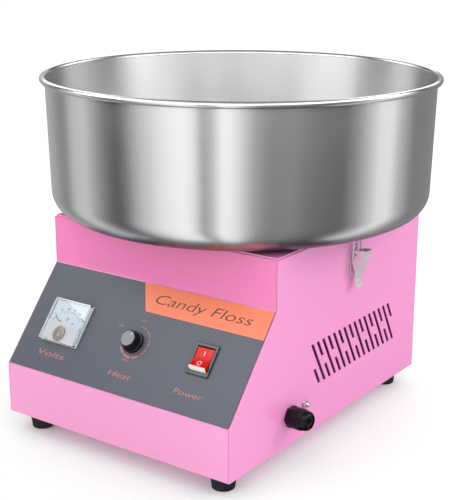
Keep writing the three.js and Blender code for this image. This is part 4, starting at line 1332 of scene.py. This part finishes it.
@dataclass
class PowerSwitch:
    """The mains rocker switch: a black bezel, and a red rocker marked I and O, with a painted highlight in white
    across its lower end.
    """

    x: float = 105.7 * MM
    y: float = 70 * MM
    half_width: float = 12.2 * MM
    bezel_top: float = 1.5 * MM
    print_low: float = 0.01 * MM  # above the rocker's face
    print_high: float = 0.08 * MM

    def build(self, packed: Packed, frame: Matrix) -> None:
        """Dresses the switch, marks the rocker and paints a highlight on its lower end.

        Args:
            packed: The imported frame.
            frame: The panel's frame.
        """
        packed.dressed("switch_housing", BEZEL, 0.7 * MM, 3)
        rocker = packed.dressed("switch_rocker", RED, 0.6 * MM, 3, angle=30)
        # painted highlight: the rocker's faces that look down the panel, above the bezel, are made white
        rocker.data.materials.append(WHITE_INK.material())
        for polygon in rocker.data.polygons:
            across = (frame.inverted().to_3x3() @ polygon.normal).y
            above = (frame.inverted() @ polygon.center).z > self.bezel_top
            polygon.material_index = int(across < -0.5 and above)
        upper, lower = self.half_frame(packed, frame, 1), self.half_frame(packed, frame, -1)
        low, high = self.print_low, self.print_high
        one = block("rocker_mark_on", (-0.45 * MM, -3 * MM, low), (0.45 * MM, 3 * MM, high))
        packed.install(moved(one, upper), WHITE_INK, "switch_rocker", replaces=False)
        inner, outer = 2.1 * MM, 2.9 * MM
        zero = spun("rocker_mark_off", [(inner, low), (outer, low), (outer, high), (inner, high)], 32)
        stretch = Matrix.Translation((0, -0.2 * MM, 0)) @ Matrix.Diagonal((1, 1.15, 1, 1))
        packed.install(moved(zero, lower @ stretch), WHITE_INK, "switch_rocker", replaces=False)
        # painted highlight: a white band across the lower end of the rocker's lower half, beside the O
        half = self.half_width - 0.8 * MM
        band = block("rocker_painted_highlight", (-half, -6.9 * MM, low), (half, -5.4 * MM, high + 0.01 * MM))
        packed.install(moved(band, lower), WHITE_INK, "switch_rocker", replaces=False)

    def half_frame(self, packed: Packed, frame: Matrix, way: int) -> Matrix:
        """The frame of one half of the rocker's face: its middle, with Y up the panel and Z out of the face.

        Args:
            packed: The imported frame.
            frame: The panel's frame.
            way: 1 for the upper half, -1 for the lower.

        Returns:
            The half's frame.
        """
        inverse = frame.inverted()
        mesh = packed.nodes["switch_rocker"].data
        corners = []
        for polygon in mesh.polygons:
            middle = inverse @ polygon.center
            normal = inverse.to_3x3() @ polygon.normal
            if (middle.y - self.y) * way > MM and normal.z > 0.8 and middle.z > 2 * MM and abs(normal.x) < 0.1:
                corners += [inverse @ mesh.vertices[i].co for i in polygon.vertices]
                out = normal
        low = min(corners, key=lambda c: c.y)
        high = max(corners, key=lambda c: c.y)
        middle = Vector((self.x, (low.y + high.y) / 2, (low.z + high.z) / 2))
        across = Vector((1, 0, 0))
        turn = Matrix((across, out.cross(across), out)).transposed().to_4x4()
        return frame @ Matrix.Translation(middle) @ turn


# ---------------------------------------------------------------------------------------------- right side
def turned_outward(node: str, length: float) -> Matrix:
    """The frame of a turned fitting on the right panel: Z points outward, and starts at the panel's face.

    Args:
        node: The CAD node, which is as round as the fitting.
        length: How far that node stands out from the panel.

    Returns:
        The fitting's frame.
    """
    low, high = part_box(node)
    middle = (low + high) / 2
    return Matrix.Translation((high.x - length, middle.y, middle.z)) @ Matrix.Rotation(math.pi / 2, 4, "Y")


@dataclass
class CableGland:
    """The mains inlet: a hexagon body, a domed nut and a rubber seal, with no cable in it."""

    nut_length: float = 30 * MM
    seal_length: float = 28.4 * MM
    ridges: int = 12
    ridge_height: float = 0.25 * MM
    grip: float = 12.9 * MM
    grip_foot: float = 7.6 * MM
    # The nut's and the seal's outlines, as (radius, height) in millimetres.
    nut: tuple[tuple[float, float], ...] = (
        (10, 7.4), (13.0, 7.4), (13.4, 8.2), (13.4, 18.5), (13.1, 19.6), (12.6, 20.2), (12.6, 21.2),
        (12.4, 23.4), (11.8, 26), (10.7, 28.4), (9.2, 29.7), (8.4, 30), (7.9, 29.8), (7.6, 29.2), (7.6, 23),
        (10, 21),
    )
    seal: tuple[tuple[float, float], ...] = (
        (4.2, 20.4), (7.2, 20.4), (7.2, 27.8), (6.6, 28.4), (5.1, 28.4), (4.2, 27.6),
    )

    def build(self, packed: Packed) -> None:
        """Turns the nut and the seal and dresses the rest.

        Args:
            packed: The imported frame.
        """
        packed.dressed("gland_body", GLOSS_BLACK, 0.7 * MM, 3)
        packed.dressed("gland_locknut", GLOSS_BLACK, 0.5 * MM)
        dome = spun("gland_nut", [(r * MM, z * MM) for r, z in self.nut], 72)

        def ridge(out: float, angle: float, z: float) -> float:
            """Raises the grip's ridges."""
            gripped = out > self.grip and z > self.grip_foot
            return 1 + self.ridge_height / out * max(0.0, math.cos(self.ridges * angle)) if gripped else 1

        reshape(dome, ridge)
        smooth(dome, 35)
        place = turned_outward("gland_dome_nut", self.nut_length)
        packed.install(moved(dome, place), GLOSS_BLACK, "gland_dome_nut")
        seal = spun("gland_seal_ring", [(r * MM, z * MM) for r, z in self.seal], 48)
        smooth(seal, 40)
        packed.install(moved(seal, turned_outward("gland_seal", self.seal_length)), RUBBER, "gland_seal")


@dataclass
class EarthTerminal:
    """The bonding stud beside the inlet: a threaded stud, a washer and a hexagon nut."""

    length: float = 7.6 * MM
    radius: float = 2.5 * MM
    pitch: float = 0.8 * MM

    def build(self, packed: Packed) -> None:
        """Turns the stud with its thread and dresses the nut.

        Args:
            packed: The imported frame.
        """
        packed.dressed("earth_nut", BRIGHT, 0.35 * MM, 2)
        thread = [(0, -5 * MM), (self.radius, -5 * MM)]
        count = int((self.length - 0.6 * MM) / self.pitch)
        for i in range(count):
            thread += [(self.radius - 0.35 * MM, i * self.pitch), (self.radius, (i + 0.5) * self.pitch)]
        thread += [(self.radius - 0.5 * MM, self.length - 0.2 * MM), (self.radius - 0.9 * MM, self.length),
                   (0, self.length)]
        stud = spun("earth_stud", thread, 32, closed=False)
        smooth(stud, 60)
        head = block("earth_stud_head", (-3.4 * MM, -3.4 * MM, -5.6 * MM), (3.4 * MM, 3.4 * MM, -1.6 * MM))
        round_edges(head, 0.6 * MM, 2)
        both = together("earth_stud", [stud, head])
        packed.install(moved(both, turned_outward("earth_screw", self.length)), BRIGHT, "earth_screw")


# ---------------------------------------------------------------------------------------------- latches
@dataclass
class Latch:
    """One toggle latch: base plate, hinge pin, pressed lever, and the wire bail that pulls the bowl's catch."""

    side: Side
    wire: float = 1.25 * MM
    bend: float = 2.2 * MM
    bail_foot: tuple[float, float] = (4.6 * MM, 228.5 * MM)
    bail_top: tuple[float, float] = (6.5 * MM, 262.1 * MM)
    bail_half: float = 9.4 * MM
    bail_end: float = 6.0 * MM
    wall: float = 175 * MM
    plate: float = 1.8 * MM  # the base plate's face above the wall
    rivets: tuple[float, float] = (209 * MM, 236 * MM)

    def build(self, packed: Packed) -> None:
        """Dresses the pressed pieces and bends the bail.

        Args:
            packed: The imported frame.
        """
        side = self.side.value
        packed.dressed(f"latch_base_{side}", ZINC, 0.3 * MM)
        packed.dressed(f"latch_pin_{side}", PLATE, 0.3 * MM)
        packed.dressed(f"latch_lever_{side}", ZINC, 0.2 * MM, 2, keep=30, whole=False)
        low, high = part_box(f"latch_lever_{side}")
        place = Matrix.Translation((0, (low.y + high.y) / 2, 0))
        if self.side is Side.LEFT:
            place = place @ Matrix.Rotation(math.pi, 4, "Z")
        packed.install(moved(self.bail(), place), ZINC, f"latch_bail_{side}")
        self.add_rivets(packed, place)

    def bail(self) -> bpy.types.Object:
        """The bail's bent wire, as one tube."""
        foot, top = self.bail_foot, self.bail_top
        half, end = self.bail_half, self.bail_end
        at = [(foot, end), (foot, half), (top, half), (top, -half), (foot, -half), (foot, -end)]
        corners = [Vector((self.wall + x, y, z)) for (x, z), y in at]
        path = [corners[0]]
        for before, corner, after in zip(corners, corners[1:], corners[2:]):
            enter = corner + (before - corner).normalized() * self.bend
            leave = corner + (after - corner).normalized() * self.bend
            shares = (0, 0.2, 0.4, 0.6, 0.8, 1)
            path += [enter.lerp(corner, t).lerp(corner.lerp(leave, t), t) for t in shares]
        path.append(corners[-1])
        deselect()
        curve = bpy.data.curves.new("bail", "CURVE")
        curve.dimensions = "3D"
        line = curve.splines.new("POLY")
        line.points.add(len(path) - 1)
        for point, place in zip(line.points, path):
            point.co = (*place, 1)
        curve.bevel_depth = self.wire
        curve.bevel_resolution = 4
        curve.use_fill_caps = True
        piece = bpy.data.objects.new("bail", curve)
        bpy.context.collection.objects.link(piece)
        activate(piece)
        bpy.ops.object.convert(target="MESH")
        tube = named(f"latch_bail_wire_{self.side.value}")
        smooth(tube, 50)
        return tube

    def add_rivets(self, packed: Packed, place: Matrix) -> None:
        """Puts the base plate's two rivets in, under the lever."""
        for number, z in enumerate(self.rivets):
            rivet = spun(f"latch_rivet_{self.side.value}_{number}", [
                (0, 1.1 * MM), (1.2 * MM, 0.9 * MM), (2.1 * MM, 0.3 * MM), (2.2 * MM, 0), (0, 0),
            ], 24, closed=False)
            smooth(rivet, 50)
            out = Matrix.Translation((self.wall + self.plate, 0, z)) @ Matrix.Rotation(math.pi / 2, 4, "Y")
            packed.install(moved(rivet, place @ out), PLATE, f"latch_base_{self.side.value}", replaces=False)


# ---------------------------------------------------------------------------------------------- spinning head
@dataclass
class SpinningHead:
    """The head: a spun dish, a slotted band, the heating ribbon, and a cover with the sugar collar."""

    radius: float = 80 * MM
    sheet: float = 1.2 * MM
    band: float = 76.8 * MM
    windows: int = 48
    collar: float = 24 * MM
    post_radius: float = 50 * MM
    ribbon: float = 67.5 * MM
    ribbon_waves: int = 30
    ribbon_depth: float = 1.2 * MM
    shaft: float = 6.4 * MM
    hub: float = 13 * MM
    foot: float = 8 * MM  # the dish's floor above the hub's underside
    slots: tuple[float, float] = (8 * MM, 33 * MM)

    def build(self, packed: Packed) -> None:
        """Makes the whole head at its place.

        Args:
            packed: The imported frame.
        """
        low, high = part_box("head_dish")
        middle = (low + high) / 2
        place = Matrix.Translation((middle.x, middle.y, low.z + self.foot))
        packed.install(moved(self.dish(), place), CAST, "head_dish")
        packed.install(moved(self.slotted_band(), place), SHEET_STAINLESS, "perforated_band")
        packed.install(moved(self.heating_ribbon(), place), HEATER, "heater_ring")
        packed.install(moved(self.cover(), place), CAST, "head_cover")
        packed.dressed("head_nut", BRIGHT, 0.6 * MM, 3)

    def dish(self) -> bpy.types.Object:
        """The dish, with a raised rim and its hub."""
        lip = self.radius - self.sheet
        dish = spun("head_dish_spun", [
            (self.shaft, -8 * MM), (self.hub, -8 * MM), (self.hub, 0), (self.radius, 0), (self.radius, 7 * MM),
            (lip, 7 * MM), (lip, 3 * MM), (self.hub, 3 * MM), (self.hub, 8 * MM), (self.shaft, 8 * MM),
        ], 120)
        round_edges(dish, 0.5 * MM, 3)
        smooth(dish, 35)
        return dish

    def slotted_band(self) -> bpy.types.Object:
        """The band that the sugar is thrown through."""
        low, high = self.slots
        band = spun("slotted_band", [(self.band, 3.4 * MM), (self.band, low), (self.band, high),
                                     (self.band, 38.6 * MM)], self.windows * 4, closed=False)
        activate(band)
        bpy.ops.object.mode_set(mode="EDIT")
        mesh = bmesh.from_edit_mesh(band.data)
        for face in mesh.faces:
            middle = face.calc_center_median()
            step = int((math.atan2(middle.y, middle.x) / math.tau % 1) * self.windows * 4)
            face.select_set(low < middle.z < high and step % 4 in (1, 2))
        bmesh.update_edit_mesh(band.data)
        bpy.ops.mesh.delete(type="FACE")
        bpy.ops.object.mode_set(mode="OBJECT")
        apply_modifier(band, "SOLIDIFY", thickness=self.sheet, offset=-1)
        smooth(band, 40)
        return band

    def heating_ribbon(self) -> bpy.types.Object:
        """The corrugated heating ribbon."""
        ribbon = spun("heating_ribbon", [(self.ribbon, 8 * MM), (self.ribbon, 34 * MM)],
                      self.ribbon_waves * 10, closed=False)

        def wave(out: float, angle: float, _: float) -> float:
            """Corrugates the ribbon."""
            return (self.ribbon + self.ribbon_depth * math.sin(self.ribbon_waves * angle)) / out

        reshape(ribbon, wave)
        apply_modifier(ribbon, "SOLIDIFY", thickness=0.6 * MM, offset=0)
        smooth(ribbon, 45)
        return ribbon

    def cover(self) -> bpy.types.Object:
        """The cover with its rolled edge, sugar collar and three posts."""
        lip = self.radius - self.sheet
        cover = spun("head_cover_spun", [
            (self.collar, 39 * MM), (lip, 39 * MM), (lip, 33 * MM), (self.radius, 33 * MM),
            (self.radius, 41 * MM), (self.collar + 2 * MM, 41 * MM), (self.collar + 2 * MM, 50 * MM),
            (self.collar, 50 * MM),
        ], 120)
        round_edges(cover, 0.8 * MM, 3)
        posts, heads = [], []
        for degrees in (30, 150, 270):
            turn = Matrix.Rotation(math.radians(degrees), 4, "Z") @ Matrix.Translation((self.post_radius, 0, 0))
            posts.append(moved(post("post", 3 * MM, 3.4 * MM, 39.5 * MM), turn))
            head = spun("post_head", [(0, 43.2 * MM), (2.4 * MM, 43 * MM), (3.8 * MM, 42.2 * MM),
                                      (3.8 * MM, 40.9 * MM), (0, 40.9 * MM)], 24, closed=False)
            carve(head, block("slot", (-3.9 * MM, -0.45 * MM, 42.4 * MM), (3.9 * MM, 0.45 * MM, 44 * MM)))
            heads.append(moved(head, turn))
        cover = together("head_cover_spun", [cover, *posts, *heads])
        smooth(cover, 35)
        return cover


# ---------------------------------------------------------------------------------------------- inside
@dataclass
class Drive:
    """The motor, its bracket, the slip rings and brushes, the shaft and the cooling fan."""

    ribs: int = 24
    shield: float = 14.5 * MM

    def build(self, packed: Packed) -> None:
        """Dresses the drive and gives the motor its ribbed shell.

        Args:
            packed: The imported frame.
        """
        finishes = {
            "motor_bracket": (PLATE, 0.5), "bearing_lower": (BRIGHT, 0.4), "bearing_upper": (BRIGHT, 0.4),
            "slip_ring_lower": (COPPER, 0.3), "slip_ring_upper": (COPPER, 0.3),
            "slip_ring_drum": (SATIN_BLACK, 0.4), "brush_holder": (SATIN_BLACK, 0.6),
            "carbon_brush_lower": (CARBON, 0.3), "carbon_brush_upper": (CARBON, 0.3),
            "drive_shaft": (BRIGHT, 0.6), "cooling_fan": (NYLON, 0.4),
        }
        for node, (finish, edge) in finishes.items():
            packed.dressed(node, finish, edge * MM)
        self.add_motor(packed)

    def add_motor(self, packed: Packed) -> None:
        """Makes the motor: a ribbed stack between two end shields."""
        low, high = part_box("motor")
        middle = (low + high) / 2
        radius, tall = (high.x - low.x) / 2, high.z - low.z
        shield = [(11.4 * MM, 0), (30 * MM, 0), (31.5 * MM, 1.5 * MM), (34 * MM, 10 * MM),
                  (36 * MM, 12 * MM), (radius - MM, 14 * MM), (radius, 15 * MM)]
        outline = shield + [(r, tall - z) for r, z in reversed(shield)]
        body = spun("motor_body", outline, self.ribs * 6)

        def groove(out: float, angle: float, z: float) -> float:
            """Sinks the grooves between the stack's ribs."""
            stack = self.shield < z < tall - self.shield and out > radius - 0.5 * MM
            return 1 - 0.02 * (stack and math.cos(self.ribs * angle) < -0.2)

        reshape(body, groove)
        smooth(body, 30)
        packed.install(moved(body, Matrix.Translation((middle.x, middle.y, low.z))), ENAMEL, "motor")


@dataclass
class Electronics:
    """The heat control board and the terminal block on the base."""

    board_low: float = 7.9 * MM  # heights above the board's pillars' feet
    board_top: float = 9.7 * MM
    sink_width: float = 30 * MM

    def build(self, packed: Packed) -> None:
        """Dresses both, with the board's parts in their own finishes.

        Args:
            packed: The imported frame.
        """
        board = packed.copied("heat_control_board", "heat_control_board_finished")
        round_edges(board, 0.3 * MM, 2, 40)
        smooth(board, 40)
        low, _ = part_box("heat_control_board")
        for finish in (BOARD, SHEET_STAINLESS, SATIN_BLACK, CERAMIC):
            board.data.materials.append(finish.material())
        for polygon in board.data.polygons:
            place = polygon.center
            if place.z > low.z + self.board_top:
                polygon.material_index = 1 if place.x < low.x + self.sink_width else 2
            elif place.z < low.z + self.board_low:
                polygon.material_index = 3
        packed.install(board, None, "heat_control_board")
        packed.dressed("terminal_block", CERAMIC, 0.5 * MM)


def main() -> None:
    """Builds the machine from the frame up."""
    logging.basicConfig(level=logging.INFO, format="%(message)s")
    packed = Packed()
    low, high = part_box("bowl")
    Studio().build((low + high) / 2, Bowl.wall_top)
    Housing().build(packed)
    panel = ControlPanel()
    panel.build(packed)
    frame = panel.frame(packed)
    for control in (Voltmeter(), HeatKnob(), PowerSwitch()):
        control.build(packed, frame)
    for assembly in (CableGland(), EarthTerminal(), Latch(Side.RIGHT), Latch(Side.LEFT), Bowl(), SpinningHead(),
                     Drive(), Electronics()):
        assembly.build(packed)


if __name__ == "__main__":
    main()
